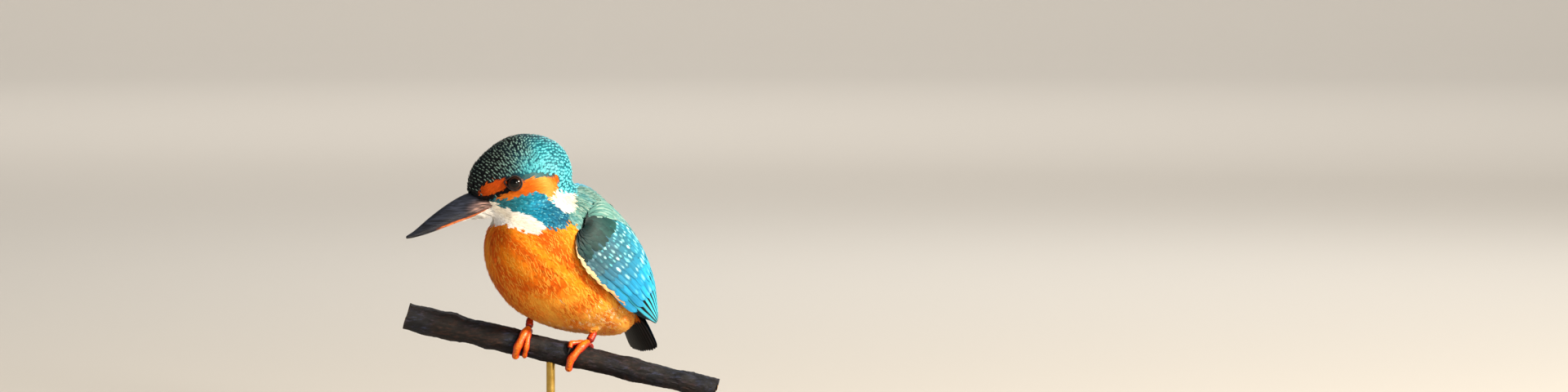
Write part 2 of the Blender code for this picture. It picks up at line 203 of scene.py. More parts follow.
# Perch. A short length of dead waterside twig, thumb-thick, sawn square at both ends. Its dark,
# weathered bark is ridged and pitted along the grain; the sawn ends show pale wood with rings.
PERCH_CENTRE_Z = 50.0
PERCH_SLANT = radians(-13.3)
PERCH_LEFT = 72.0
PERCH_RIGHT = 70.0
PERCH_LENGTH = PERCH_LEFT + PERCH_RIGHT
PERCH_RADIUS_LEFT = 6.3
PERCH_RADIUS_RIGHT = 4.7
# Each knot: its place along the twig and round it, its width and its height
KNOTS = (
    (-52.0, 0.5, 5.0, 0.9), (-35.0, 2.6, 4.0, 0.8), (31.0, 5.4, 4.5, 0.7), (55.0, 1.2, 4.0, 0.8),
)
ALONG = Vector((cos(PERCH_SLANT), 0.0, sin(PERCH_SLANT)))
OVER = Vector((-sin(PERCH_SLANT), 0.0, cos(PERCH_SLANT)))


def bark(x, angle):
    """The twig's radius at x and an angle round it, with the swellings of its bark."""
    t = (x + PERCH_LEFT) / PERCH_LENGTH
    radius = PERCH_RADIUS_LEFT + (PERCH_RADIUS_RIGHT - PERCH_RADIUS_LEFT) * t
    swell = 0.22 * sin(0.21 * x + 1.0) + 0.16 * sin(0.47 * x + 2.0 * angle)
    return radius + swell + 0.14 * sin(3.0 * angle + 0.13 * x)


def on_perch(x, angle, lift):
    """The point at this lift over the bark, angle 0 at the top and a quarter turn in front."""
    away = OVER * cos(angle) - Vector((0.0, 1.0, 0.0)) * sin(angle)
    axis = Vector((0.0, 0.0, PERCH_CENTRE_Z)) + ALONG * (x / cos(PERCH_SLANT))
    return axis + away * (bark(x, angle) + lift)


def roughness_of_bark(x, angle):
    """How far the bark's ridges, pits and knots stand out from its even swell."""
    spot = Vector((x * 0.16, 5.0 * cos(angle), 5.0 * sin(angle)))
    ridges = 1.0 - abs(noise.fractal(spot * 0.55, 0.8, 2.1, 3)) * 2.0
    pits = noise.fractal(spot * 2.6, 0.7, 2.0, 3)
    rough = 0.22 * ridges + 0.2 * pits - 0.1
    for at, way, width, rise in KNOTS:
        turn = (angle - way + pi) % (2 * pi) - pi
        off = ((x - at) / width) ** 2 + (turn * 5.0 / width) ** 2
        rough += rise * np.exp(-off * 2.0) - 0.5 * rise * np.exp(-off * 9.0)
    return rough


# Weathered bark, matt: near black and brown, with a cool blue tint laid in random patches as a
# painted sheen, over fibres about 1 mm wide that follow the twig.
bark_look, tree, shader = finish_of("weathered_bark", Specular_IOR_Level=0.35)
place = add(tree, "TexCoord", out="Object")
grain = add(
    tree, "Mapping", {"Vector": place, "Rotation": (0, PERCH_SLANT, 0), "Scale": (0.3, 1, 1)}
)
fibre = add(tree, "TexNoise", {"Vector": grain, "Scale": 900.0, "Detail": 5.0, "Roughness": 0.65})
patches = add(tree, "TexNoise", {"Vector": place, "Scale": 90.0, "Detail": 4.0, "Roughness": 0.6})
brown = add(
    tree, "ValToRGB", {"Fac": fibre}, ((0.3, "#050405"), (0.75, "#3f2820"), (0.5, "#140d0c"))
)
# Painted sheen: this cool blue, mixed in by patches, stands in for light reflected off the bark.
painted_blue_sheen = add(
    tree, "ValToRGB", {"Fac": fibre}, ((0.3, "#05060a"), (0.78, "#343c58"), (0.52, "#0e1018"))
)
share = add(tree, "MapRange", {"Value": patches, "From Min": 0.42, "From Max": 0.6})
colour = add(tree, "Mix", {"Factor": share, 6: brown, 7: painted_blue_sheen}, out=2, data_type="RGBA")
matt = add(tree, "MapRange", {"Value": fibre, "To Min": 0.55, "To Max": 0.9})
relief = add(tree, "Bump", {"Height": fibre, "Strength": 0.8, "Distance": 0.0004})
feed(shader, Base_Color=colour, Roughness=matt, Normal=relief)

# Sawn wood: dull buff, with growth rings about 1.6 mm apart round the twig's middle.
sawn, tree, shader = finish_of("sawn_wood", Roughness=0.8)
place = add(tree, "TexCoord", out="Object")
centre = (0, 0, -PERCH_CENTRE_Z * MM)
centred = add(tree, "Mapping", {"Vector": place, "Location": centre, "Scale": (0, 1, 1)})
rings = add(
    tree, "TexWave", {"Vector": centred, "Scale": 190.0, "Distortion": 1.5, "Detail": 2.0},
    out="Fac", wave_type="RINGS",
)
colour = add(tree, "ValToRGB", {"Fac": rings}, ((0.1, "#6e5236"), (0.8, "#a98a62")))
relief = add(tree, "Bump", {"Height": rings, "Strength": 0.3, "Distance": 0.0002})
feed(shader, Base_Color=colour, Normal=relief)

bm = bmesh.new()
bmesh.ops.create_cone(bm, cap_ends=True, segments=72, radius1=1.0, radius2=1.0, depth=2.0)
sides = [e for e in bm.edges if abs(e.verts[0].co.z - e.verts[1].co.z) > 1.0]
bmesh.ops.subdivide_edges(bm, edges=sides, cuts=210)
for vert in bm.verts:
    x = -PERCH_LEFT + PERCH_LENGTH * (vert.co.z + 1.0) / 2.0
    angle = atan2(vert.co.y, vert.co.x)
    vert.co = on_perch(x, angle, roughness_of_bark(x, angle))
ends = [f for f in bm.faces if len(f.verts) > 4]
bmesh.ops.inset_individual(bm, faces=ends, thickness=0.6, depth=-0.15)
for face in ends:
    face.material_index = 1
perch = done("perch_bark", bm, bark_look, "twig_bark", "perch")
perch.data.materials.append(sawn)



# Skin. One unbroken hide over head, neck, trunk and thighs, as a mounted bird's is once sewn and
# dried. It lies inside the outline by the depth of the feathers, and carries their colours.
FEET_CENTRE_X = -5.6
BODY_YAW = radians(42.0)
HEAD_YAW = radians(12.0)
HEAD_X = -16.9
HEAD_Y = -9.0
FLESH = ("head", "neck", "trunk", "thigh_left", "thigh_right")
# How far the solids are grown to close their seams, and the eyes to fill their sockets
SEAM = 0.35
SOCKET_FILL = 0.5
# The coat's depth by the bill and on the body
FACE_DEPTH = 0.55
BODY_DEPTH = 1.3
BILL_BASE = (-24.0, 0.0, 119.0)


def placed(yaw, x, y):
    """The matrix from (back, left, up) to the world, for a shape that faces -X turned by yaw."""
    return np.array(
        ((cos(yaw), sin(yaw), 0, x), (sin(yaw), -cos(yaw), 0, y), (0, 0, 1, 0), (0, 0, 0, 1.0))
    )


HEAD = placed(HEAD_YAW, HEAD_X, HEAD_Y)
BODY = placed(BODY_YAW, FEET_CENTRE_X, 0.0)


def out_of(matrix, points):
    """World places of (back, left, up) places."""
    return np.asarray(points, float) @ matrix[:3, :3].T + matrix[:3, 3]


def into(matrix, points):
    """(back, left, up) places of world places."""
    return (np.asarray(points, float) - matrix[:3, 3]) @ matrix[:3, :3]


def smooth(value, low, high):
    """0 below low, 1 above high, and an even rise between."""
    t = np.clip((value - low) / (high - low), 0.0, 1.0)
    return t * t * (3.0 - 2.0 * t)


def blend(a, b, share):
    """a where share is 0, b where it is 1, and an even mixture between."""
    return a * (1 - share) + b * share


def side_by_side(*values):
    """The values, each a number or an array, as the columns of one array."""
    return np.stack(np.broadcast_arrays(*values), axis=-1)


def far(vectors):
    """The length of each vector."""
    return np.linalg.norm(vectors, axis=-1)


def unit(vectors):
    """Each vector at a length of 1."""
    return vectors / np.maximum(far(vectors)[..., None], 1e-9)


def merged_copy(bm, node, growth):
    """Adds a CAD node to the mesh, its points merged and moved out by growth."""
    part = bmesh.new()
    part.from_mesh(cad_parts[node].data)
    bmesh.ops.scale(part, vec=(1 / MM,) * 3, verts=part.verts)
    bmesh.ops.remove_doubles(part, verts=part.verts, dist=0.002)
    part.normal_update()
    moves = [v.normal * growth for v in part.verts]
    for vert, move in zip(part.verts, moves):
        vert.co += move
    mesh = bpy.data.meshes.new("part")
    part.to_mesh(mesh)
    part.free()
    bm.from_mesh(mesh)
    bpy.data.meshes.remove(mesh)


def modified(bm, *modifiers):
    """The mesh after these modifiers, each a kind and its settings."""
    holder = bpy.data.objects.new("holder", bpy.data.meshes.new("holder"))
    bm.to_mesh(holder.data)
    bm.free()
    bpy.context.scene.collection.objects.link(holder)
    for kind, settings in modifiers:
        modifier = holder.modifiers.new(kind, kind)
        for key, value in settings.items():
            setattr(modifier, key, value)
    made = bmesh.new()
    made.from_object(holder, bpy.context.evaluated_depsgraph_get())
    bpy.data.objects.remove(holder)
    return made


skin = bmesh.new()
for node in FLESH:
    merged_copy(skin, node, SEAM)
for node in ("eye_left", "eye_right"):
    merged_copy(skin, node, SOCKET_FILL)
skin = modified(
    skin,
    ("REMESH", {"mode": "VOXEL", "voxel_size": 0.75}),
    ("SMOOTH", {"factor": 0.6, "iterations": 12}),
)
skin.normal_update()
bill_base = out_of(HEAD, BILL_BASE)
for vert in skin.verts:
    share = smooth(far(np.array(vert.co) - bill_base), 14.0, 42.0)
    depth = FACE_DEPTH + (BODY_DEPTH - FACE_DEPTH) * share
    vert.co -= vert.normal * (depth + SEAM)
bmesh.ops.smooth_vert(skin, verts=skin.verts, factor=0.5)
skin.normal_update()
SKIN = BVHTree.FromBMesh(skin)

# The markings. Each is an outline in profile (back, up) with the way its edge softens; a mark on
# the side of the neck leaves out what faces up or down. All else on the head is crown.
CROWN, LORE, MASK, EAR, BROW, MALAR, THROAT, PATCH, MANTLE, BREAST = range(10)
MARK_OVERLAP = 0.4
HEAD_MARKS = (
    (THROAT, 0.0, (
        (-29, 116), (-20, 120), (-12, 121), (-3, 118), (4, 114.6), (5.5, 111.5), (-1, 107.6),
        (-8, 109), (-13, 110.4), (-30, 110),
    )),
    (MALAR, 0.25, (
        (-17.5, 121.6), (-12, 121.8), (-5, 124.6), (-0.5, 125.4), (4, 122.8), (10, 119.4),
        (15.5, 115.6), (14.5, 110.8), (6, 110.6), (1, 113.4), (-3, 115.2), (-10, 117.6),
        (-15, 119.4),
    )),
    (PATCH, 0.35, (
        (5.8, 124.5), (8.5, 128.2), (13, 127.6), (19.5, 124.8), (19.5, 119.5), (16, 117),
        (11, 119.6), (6.2, 122.6),
    )),
    (EAR, 0.3, (
        (-17, 122.8), (-12, 126), (-8, 129), (-4, 131), (0.6, 132.6), (5.4, 134.6),
        (11.4, 134.8), (11.6, 129.4), (8.6, 125), (6.6, 122.6), (1.3, 125), (-3.3, 124.5),
        (-12, 121.6),
    )),
    (BROW, 0.3, (
        (-5.2, 132.4), (-3.6, 130.4), (0.6, 132.6), (5.4, 134.8), (9, 136), (3, 135.4), (-1.5, 134),
    )),
    (MASK, 0.2, (
        (-24, 121.2), (-18.5, 123.8), (-13, 127.4), (-11.6, 130.6), (-9, 132), (-7.4, 129.4),
        (-8.6, 126.4), (-12, 124.8), (-17, 123), (-22, 121),
    )),
    (LORE, 0.2, (
        (-23.4, 123.4), (-21.8, 127.2), (-17, 129.6), (-12, 130.4), (-11.9, 127.6), (-15, 125.6),
        (-18, 123.9),
    )),
)
# The head's plumage down to the neck, in profile
HEAD_EDGE = (
    (-40, 160), (-40, 120), (-15, 119.5), (15, 115), (19.5, 121), (21, 126), (30, 133), (30, 160),
)
# The edge of the back's colours over the breast's, in the body's profile, from neck to tail
BACK_EDGE = (
    (-14, 150), (-12.5, 128), (-10.5, 119), (-6.5, 112), (-3, 105), (-2, 97), (4, 88), (16, 79),
    (33, 73), (44, 70), (62, 64), (62, 150),
)


def inside(outline, places):
    """How far each (back, up) place lies inside a closed outline; outside is below zero."""
    corners = np.array(outline, float)
    nearest = np.full(len(places), 1e9)
    within = np.zeros(len(places), bool)
    for a, b in zip(corners, np.roll(corners, -1, axis=0)):
        run = b - a
        t = np.clip(((places - a) @ run) / (run @ run), 0.0, 1.0)
        nearest = np.minimum(nearest, far(places - a - t[:, None] * run))
        spans = (a[1] > places[:, 1]) != (b[1] > places[:, 1])
        with np.errstate(divide="ignore", invalid="ignore"):
            cross = a[0] + (places[:, 1] - a[1]) / (b[1] - a[1]) * run[0]
        within ^= spans & (places[:, 0] < cross)
    return np.where(within, nearest, -nearest)


def marking_of(points, ways):
    """The marking on which each world place lies, its surface facing the way given."""
    head, facing = into(HEAD, points), np.abs(ways @ HEAD[:3, 1])
    body = into(BODY, points)
    wander = 0.35 * np.sin(points @ (1.9, 2.3, 1.7)) + 0.25 * np.sin(points @ (-4.1, 3.3, 3.9))
    on_head = inside(HEAD_EDGE, head[:, [0, 2]])
    back = inside(BACK_EDGE, body[:, [0, 2]])
    found = np.where(back + wander > 0, MANTLE, BREAST)
    found = np.where(on_head > 0, CROWN, found)
    for mark, least, outline in HEAD_MARKS:
        deep = inside(outline, head[:, [0, 2]]) + wander + MARK_OVERLAP
        found = np.where((deep > 0) & (facing > least), mark, found)
    return found


def tone(stops, share):
    """The colours between hex stops at each share from 0 to 1, linear."""
    table = np.array([linear(code) for code in stops])
    place = np.clip(share, 0.0, 1.0) * (len(stops) - 1)
    return np.stack([np.interp(place, range(len(stops)), table[:, i]) for i in range(3)], axis=-1)


def rear_of(points):
    """How far back on the crown a place lies, 0 at the forehead and 1 at the nape."""
    head = into(HEAD, points)
    return smooth(head[:, 0] - 0.5 * (head[:, 2] - 138.0), -19.0, 6.0)


def on_spine(points):
    """How far a place lies within the bright line down the middle of the back, from 0 to 1."""
    body = into(BODY, points)
    return (1.0 - smooth(np.abs(body[:, 1]), 2.0, 11.0)) * smooth(body[:, 0], 2.0, 14.0)


def colour_of(points, marks):
    """The plumage's colour at each world place, before a feather's own pattern."""
    head, body = into(HEAD, points), into(BODY, points)
    slow = np.sin(points @ (0.11, -0.13, 0.17))
    drift = 0.5 + 0.5 * np.sin(points @ (0.21, 0.33, 0.19) + 2.0 * slow)
    rear = rear_of(points) + 0.2 * (drift - 0.5)
    low = smooth(-body[:, 2], -84.0, -64.0)
    shades = {
        # Painted shade: the crown darkens towards the forehead, which is turned away from the
        # light.
        CROWN: tone(("#04090f", "#08202b", "#0f4554", "#136a7c"), rear),
        LORE: tone(("#c44a0a", "#ee7a18"), drift),
        MASK: tone(("#0b090a", "#1d1614"), drift),
        EAR: tone(("#d9640e", "#ea8a2a", "#f4ad4c"), drift),
        BROW: tone(("#2c5058", "#4f7d84"), drift),
        MALAR: tone(("#2b6f7c", "#2391aa", "#1884a8", "#155f80"), smooth(head[:, 0], -16, 14)),
        THROAT: tone(("#fbf4e6", "#ffffff"), drift),
        PATCH: tone(("#fdf0d6", "#ffffff"), drift),
        MANTLE: tone(("#42706c", "#5d8f88", "#4a8488"), drift),
        BREAST: tone(("#d65c04", "#e87508", "#f29218"), drift),
    }
    found = np.zeros((len(points), 3))
    for mark, shade in shades.items():
        found[marks == mark] = shade[marks == mark]
    spine = ((marks == MANTLE) * on_spine(points))[:, None]
    found = blend(found, tone(("#1a9ad6", "#2bb8e8"), drift), spine)
    pale = ((marks == BREAST) * low * 0.3)[:, None]
    return blend(found, tone(("#f39a26", "#f9c667"), drift), pale)


def painted(piece, tints):
    """Stores a linear colour for each point of the piece as its "tint"."""
    layer = piece.data.color_attributes.new("tint", "FLOAT_COLOR", "POINT")
    rgba = np.ones((len(piece.data.vertices), 4), np.float32)
    rgba[:, :3] = np.clip(tints, 0.0, 1.0)
    layer.data.foreach_set("color", rgba.ravel())


# A Mix node's settings for two colours multiplied
MULTIPLY = {"data_type": "RGBA", "blend_type": "MULTIPLY"}

# Dried skin and down: the plumage's colours a little darker, dead matt, with a pebbled relief.
hide, tree, shader = finish_of("skin_with_down", Roughness=0.9, Specular_IOR_Level=0.2)
tint = add(tree, "Attribute", attribute_name="tint")
place = add(tree, "TexCoord", out="Object")
down = add(tree, "TexNoise", {"Vector": place, "Scale": 1800.0, "Detail": 4.0})
shade = add(tree, "ValToRGB", {"Fac": down}, ((0.3, "#cfcfcf"), (0.7, "#ffffff")))
colour = add(tree, "Mix", {"Factor": 1.0, 6: tint, 7: shade}, out=2, **MULTIPLY)
relief = add(tree, "Bump", {"Height": down, "Strength": 0.5, "Distance": 0.0003})
feed(shader, Base_Color=colour, Normal=relief)

places = np.array([v.co for v in skin.verts])
ways = np.array([v.normal for v in skin.verts])
tints = colour_of(places, marking_of(places, ways))
skin_mesh = skin.copy()
piece = done("skin", skin, hide, "belly_feathers", *FLESH)
painted(piece, tints)


# Head plumage. Small dense feathers: on the crown dark ones in rings that start at the bill, each
# with a bright bar by its tip; blue ones on the cheek, half of them bright at the tip; and plain
# orange, black and white ones, frayed, on lore, ear, mask, throat and neck.
BAKE_PATCH = 0.003
BAKE_MARGIN = 0.004
HEAD_TRIES = 14000


def feather_shape(columns, rows, outline, split=1.0, cup=0.12, dense=1.0, taper=0.85):
    """One feather laid flat: x across from -1 to 1, y from the root at 0 to the tip at 1, its half
    width outline(y). Past split it parts into barbs that lose taper of their width, cup bends its
    sides down, and dense below 1 packs rows at the tip. Its points, triangles, the barb of each
    point, and split."""
    bm = bmesh.new()
    bmesh.ops.create_grid(bm, x_segments=columns, y_segments=rows, size=1.0)
    for vert in bm.verts:
        vert.co.y = max(0.0, (vert.co.y + 1.0) / 2.0) ** dense
    upright = [e for e in bm.edges if abs(e.verts[0].co.x - e.verts[1].co.x) < 1e-4]
    cuts = [
        e for e in upright if abs(e.verts[0].co.x) < 0.999 and min(v.co.y for v in e.verts) > split
    ]
    bmesh.ops.split_edges(bm, edges=cuts)
    barbs = {}
    for vert in bm.verts:
        middle = sum(f.calc_center_median().x for f in vert.link_faces) / len(vert.link_faces)
        barbs[vert] = min(int((middle + 1.0) / 2.0 * columns), columns - 1)
        if vert.co.y > split:
            over = (vert.co.y - split) / (1.0 - split)
            vert.co.x = middle + (vert.co.x - middle) * (1.0 - taper * over)
        vert.co.x *= outline(vert.co.y)
        vert.co.z = -cup * vert.co.x**2
    bmesh.ops.triangulate(bm, faces=bm.faces)
    points = np.array([v.co for v in bm.verts])
    barb = np.array([barbs[v] for v in bm.verts])
    triangles = np.array([[v.index for v in f.verts] for f in bm.faces])
    if sum(f.normal.z for f in bm.faces) < 0:
        triangles = triangles[:, ::-1]
    bm.free()
    return points, triangles, barb, split


def laid(surface, roots, ways, lengths, steps=4):
    """Lines that leave their roots the ways given and keep to the surface, with its normals."""
    line, ups = np.zeros((2, len(roots), steps + 1, 3))
    for i, (root, way, length) in enumerate(zip(roots, ways, lengths)):
        at, going = Vector(root), Vector(way)
        for k in range(steps + 1):
            near, normal = surface.find_nearest(at)[:2]
            line[i, k], ups[i, k] = near, normal
            going = (going - normal * going.dot(normal)).normalized()
            at = near + going * (length / steps)
    return line, ups


def grown(shape, line, ups, widths, lift, fray=0.0, curl=0.0):
    """World points (feather, point, 3) of feathers on their lines, with the x, y and barb shade
    of each point and the way the surface under it faces. lift is (at the root, at the tip); fray
    shortens barbs and curl lifts tips."""
    points, _, barb, split = shape
    count, steps = len(line), line.shape[1] - 1
    x = np.repeat(points[None, :, 0], count, 0) * np.where(rng.random((count, 1)) < 0.5, 1.0, -1.0)
    uneven = rng.random((count, barb.max() + 1))[:, barb]
    over = np.clip(points[:, 1] - split, 0.0, None)
    y = points[None, :, 1] - over * fray * uneven
    at = np.clip(y * steps, 0.0, steps - 1e-6)
    k = at.astype(int)
    f = (at - k)[..., None]
    row = np.arange(count)[:, None]
    middle = blend(line[row, k], line[row, k + 1], f)
    up = unit(blend(ups[row, k], ups[row, k + 1], f))
    side = unit(np.cross(unit(line[row, k + 1] - line[row, k]), up))
    wide = np.reshape(widths, (-1, 1))
    rise = blend(np.reshape(lift[0], (-1, 1)), np.reshape(lift[1], (-1, 1)), y)
    rise = rise + curl * y**3 + points[None, :, 2] * wide
    return middle + (x * wide)[..., None] * side + rise[..., None] * up, x, y, uneven, up


def coat(name, shape, points, ups, tints, bake, finish, slot, soften=0.5):
    """The joined piece of many feathers: every triangle turned to face away from the surface,
    their colours, and the patch of each on the bake map. soften turns their shading towards the
    surface they lie on, as fine barbs scatter light."""
    triangles, count, size = shape[1], len(points), points.shape[1]
    first, second, third = (points[:, triangles[:, i]] for i in range(3))
    facing = np.cross(second - first, third - first) * ups[:, triangles[:, 0]]
    turned = facing.sum(axis=2, keepdims=True) < 0
    faces = np.where(turned, triangles[None, :, ::-1], triangles[None])
    faces = (faces + size * np.arange(count)[:, None, None]).reshape(-1, 3)
    mesh = bpy.data.meshes.new(name)
    mesh.from_pydata(points.reshape(-1, 3) * MM, [], faces)
    mesh.shade_smooth()
    ways = np.zeros(3 * len(mesh.vertices), np.float32)
    mesh.vertex_normals.foreach_get("vector", ways)
    ways = blend(ways.reshape(-1, 3), ups.reshape(-1, 3), soften)
    mesh.normals_split_custom_set_from_vertices(unit(ways))
    flat = np.repeat(shape[0][None, :, :2] * (0.5, 1.0) - (0.0, 0.5), count, 0)
    spots = BAKE_MARGIN + (1.0 - 2.0 * BAKE_MARGIN) * bake[:, None]
    for label, patch in (("vane", flat + 0.5), ("OFBake", flat * BAKE_PATCH + spots)):
        uv = patch.reshape(-1, 2)[faces.ravel()]
        mesh.uv_layers.new(name=label).data.foreach_set("uv", uv.astype(np.float32).ravel())
    piece = shown(name, mesh, finish)
    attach(piece, "root")
    painted(piece, tints.reshape(-1, 3))


def plumage(name, barbs, **values):
    """A feather finish: its points' colours, with barbs as fine ridges along the vane."""
    made, tree, shader = finish_of(name, **values)
    tint = add(tree, "Attribute", attribute_name="tint")
    place = add(tree, "UVMap", uv_map="vane")
    spread = add(tree, "Mapping", {"Vector": place, "Scale": (barbs, 1.4, 1.0)})
    fine = add(tree, "TexNoise", {"Vector": spread, "Scale": 1.0, "Detail": 1.0})
    shade = add(tree, "MapRange", {"Value": fine, "To Min": 0.7, "To Max": 1.3})
    colour = add(tree, "Mix", {"Factor": 1.0, 6: tint, 7: shade}, out=2, **MULTIPLY)
    relief = add(tree, "Bump", {"Height": fine, "Strength": 0.3, "Distance": 0.0001})
    feed(shader, Base_Color=colour, Normal=relief)
    return made


def down_spine(local):
    """How far down the spine's line from the nape a place of the body lies."""
    return (local[:, 0] - NAPE[0]) * SPINE_BACK + (NAPE[1] - local[:, 2]) * SPINE_DOWN


def lie_of(points, normals):
    """The way feathers lie: away from the bill on the head, along the spine on the body, and
    down to the foot at the end of a thigh."""
    away = unit(points - bill_base)
    down = np.clip(down_spine(into(BODY, points)) / SPINE_LENGTH, 0.0, 1.0)
    spine = unit(side_by_side(0.3 + 0.62 * down, 0.0, -0.95 + 0.5 * down)) @ BODY[:3, :3].T
    way = blend(away, spine, smooth(far(points - bill_base), 26.0, 44.0)[:, None])
    for foot in THIGH_ENDS.values():
        near = 1.0 - smooth(far(points - foot), 5.0, 13.0)
        way = unit(way) + near[:, None] * (0.0, 0.0, -1.6)
    return unit(way - normals * np.sum(way * normals, axis=1, keepdims=True))


# Soft feather: matt with a faint silky sheen, its barbs about 0.2 mm apart on the breast.
soft = plumage(
    "soft_feather", 12.0, Roughness=0.75, Specular_IOR_Level=0.15, Sheen_Weight=0.03,
    Sheen_Roughness=0.4,
)
# Blue-green feather: the colour is structure, not pigment, so it has a little more gloss.
glossy = plumage("glossy_feather", 10.0, Roughness=0.55, Specular_IOR_Level=0.2)

# The spine's line starts at the nape (back, up) and runs back and down by these shares
NAPE = (-10.0, 128.0)
SPINE_BACK = 0.632
SPINE_DOWN = 0.775
SPINE_LENGTH = 87.0
HEAD_MIDDLE = out_of(HEAD, (-2.0, 0.0, 128.0))
SKULL_RADIUS = 19.5
EYE_SEAT = (-7.4, 12.3, 129.4)
EYE_RADIUS = 3.9
EYES = [out_of(HEAD, (EYE_SEAT[0], EYE_SEAT[1] * side, EYE_SEAT[2])) for side in (1.0, -1.0)]
THIGH_ENDS = {"left": (14.2, 3.4, 58.2), "right": (-15.6, 3.6, 64.6)}
rng = np.random.default_rng(7)


def ringed(spacing):
    """Places in rings round the bill's axis, staggered from ring to ring, and how they face."""
    axis, across = unit(bill_base - HEAD_MIDDLE), HEAD[:3, 1]
    third = np.cross(axis, across)
    found = []
    for ring, polar in enumerate(np.arange(0.3, 2.7, spacing / SKULL_RADIUS)):
        number = int(2 * pi * 19.0 * sin(polar) / (spacing * 1.1))
        for i in range(number):
            angle = 2 * pi * (i + 0.5 * (ring % 2) + rng.uniform(-0.14, 0.14)) / number
            tilt = polar + rng.uniform(-0.12, 0.12) * spacing / SKULL_RADIUS
            ray = axis * cos(tilt) + (across * cos(angle) + third * sin(angle)) * sin(tilt)
            hit, normal, _, reach = SKIN.ray_cast(Vector(HEAD_MIDDLE), Vector(ray))
            if hit is not None and reach < 30.0:
                found.append((*hit, *normal))
    found = np.array(found)
    return found[:, :3], found[:, 3:]


def scattered(chosen, tries, spacing, more_below=0.0):
    """Places spread evenly over the skin's chosen markings, spacing apart and more_below farther
    low on the body, with the ways they face and their markings. It tries so many random places
    and keeps those with no kept one too close."""
    faces = skin_mesh.faces[:]
    middles = np.array([f.calc_center_median() for f in faces])
    normals = np.array([f.normal for f in faces])
    areas = np.array([f.calc_area() for f in faces]) * np.isin(marking_of(middles, normals), chosen)
    picked = rng.choice(len(faces), tries, p=areas / areas.sum())
    corners = np.array([[v.co for v in (*f.verts[:3], f.verts[-1])] for f in faces])[picked]
    a, b = rng.random((2, tries, 1))
    near, across = (blend(corners[:, i], corners[:, j], a) for i, j in ((0, 1), (3, 2)))
    places = blend(near, across, b)
    gaps = spacing + more_below * smooth(-into(BODY, places)[:, 2], -112.0, -80.0)
    cell = gaps.max()
    grid = {}
    kept = []
    for i, (place, gap) in enumerate(zip(places, gaps)):
        key = tuple((place // cell).astype(int))
        close = [
            j for dx in (-1, 0, 1) for dy in (-1, 0, 1) for dz in (-1, 0, 1)
            for j in grid.get((key[0] + dx, key[1] + dy, key[2] + dz), ())
        ]
        if close and (((places[close] - place) ** 2).sum(axis=1) < gap * gap).any():
            continue
        grid.setdefault(key, []).append(i)
        kept.append(i)
    return places[kept], normals[picked][kept], marking_of(places[kept], normals[picked][kept])


def small_outline(y):
    """Half width of a small body feather: narrow at its root, full past its middle, then round."""
    round_off = sqrt(max(0.02, 1.0 - max(0.0, y - 0.62) ** 2 / 0.15))
    return (0.5 + 0.5 * sin(pi / 2 * min(y / 0.6, 1.0))) * round_off


def head_bake(points):
    """Where head feathers' patches lie: angles round the head's middle."""
    flat = unit(into(HEAD, points) - into(HEAD, HEAD_MIDDLE))
    polar = np.arccos(np.clip(flat[:, 0], -1, 1)) / pi
    return side_by_side(0.5 + np.arctan2(flat[:, 2], flat[:, 1]) / (2 * pi), polar)


crown_shape = feather_shape(5, 8, small_outline, split=0.86, dense=0.62)
face_shape = feather_shape(5, 4, small_outline, split=0.4)
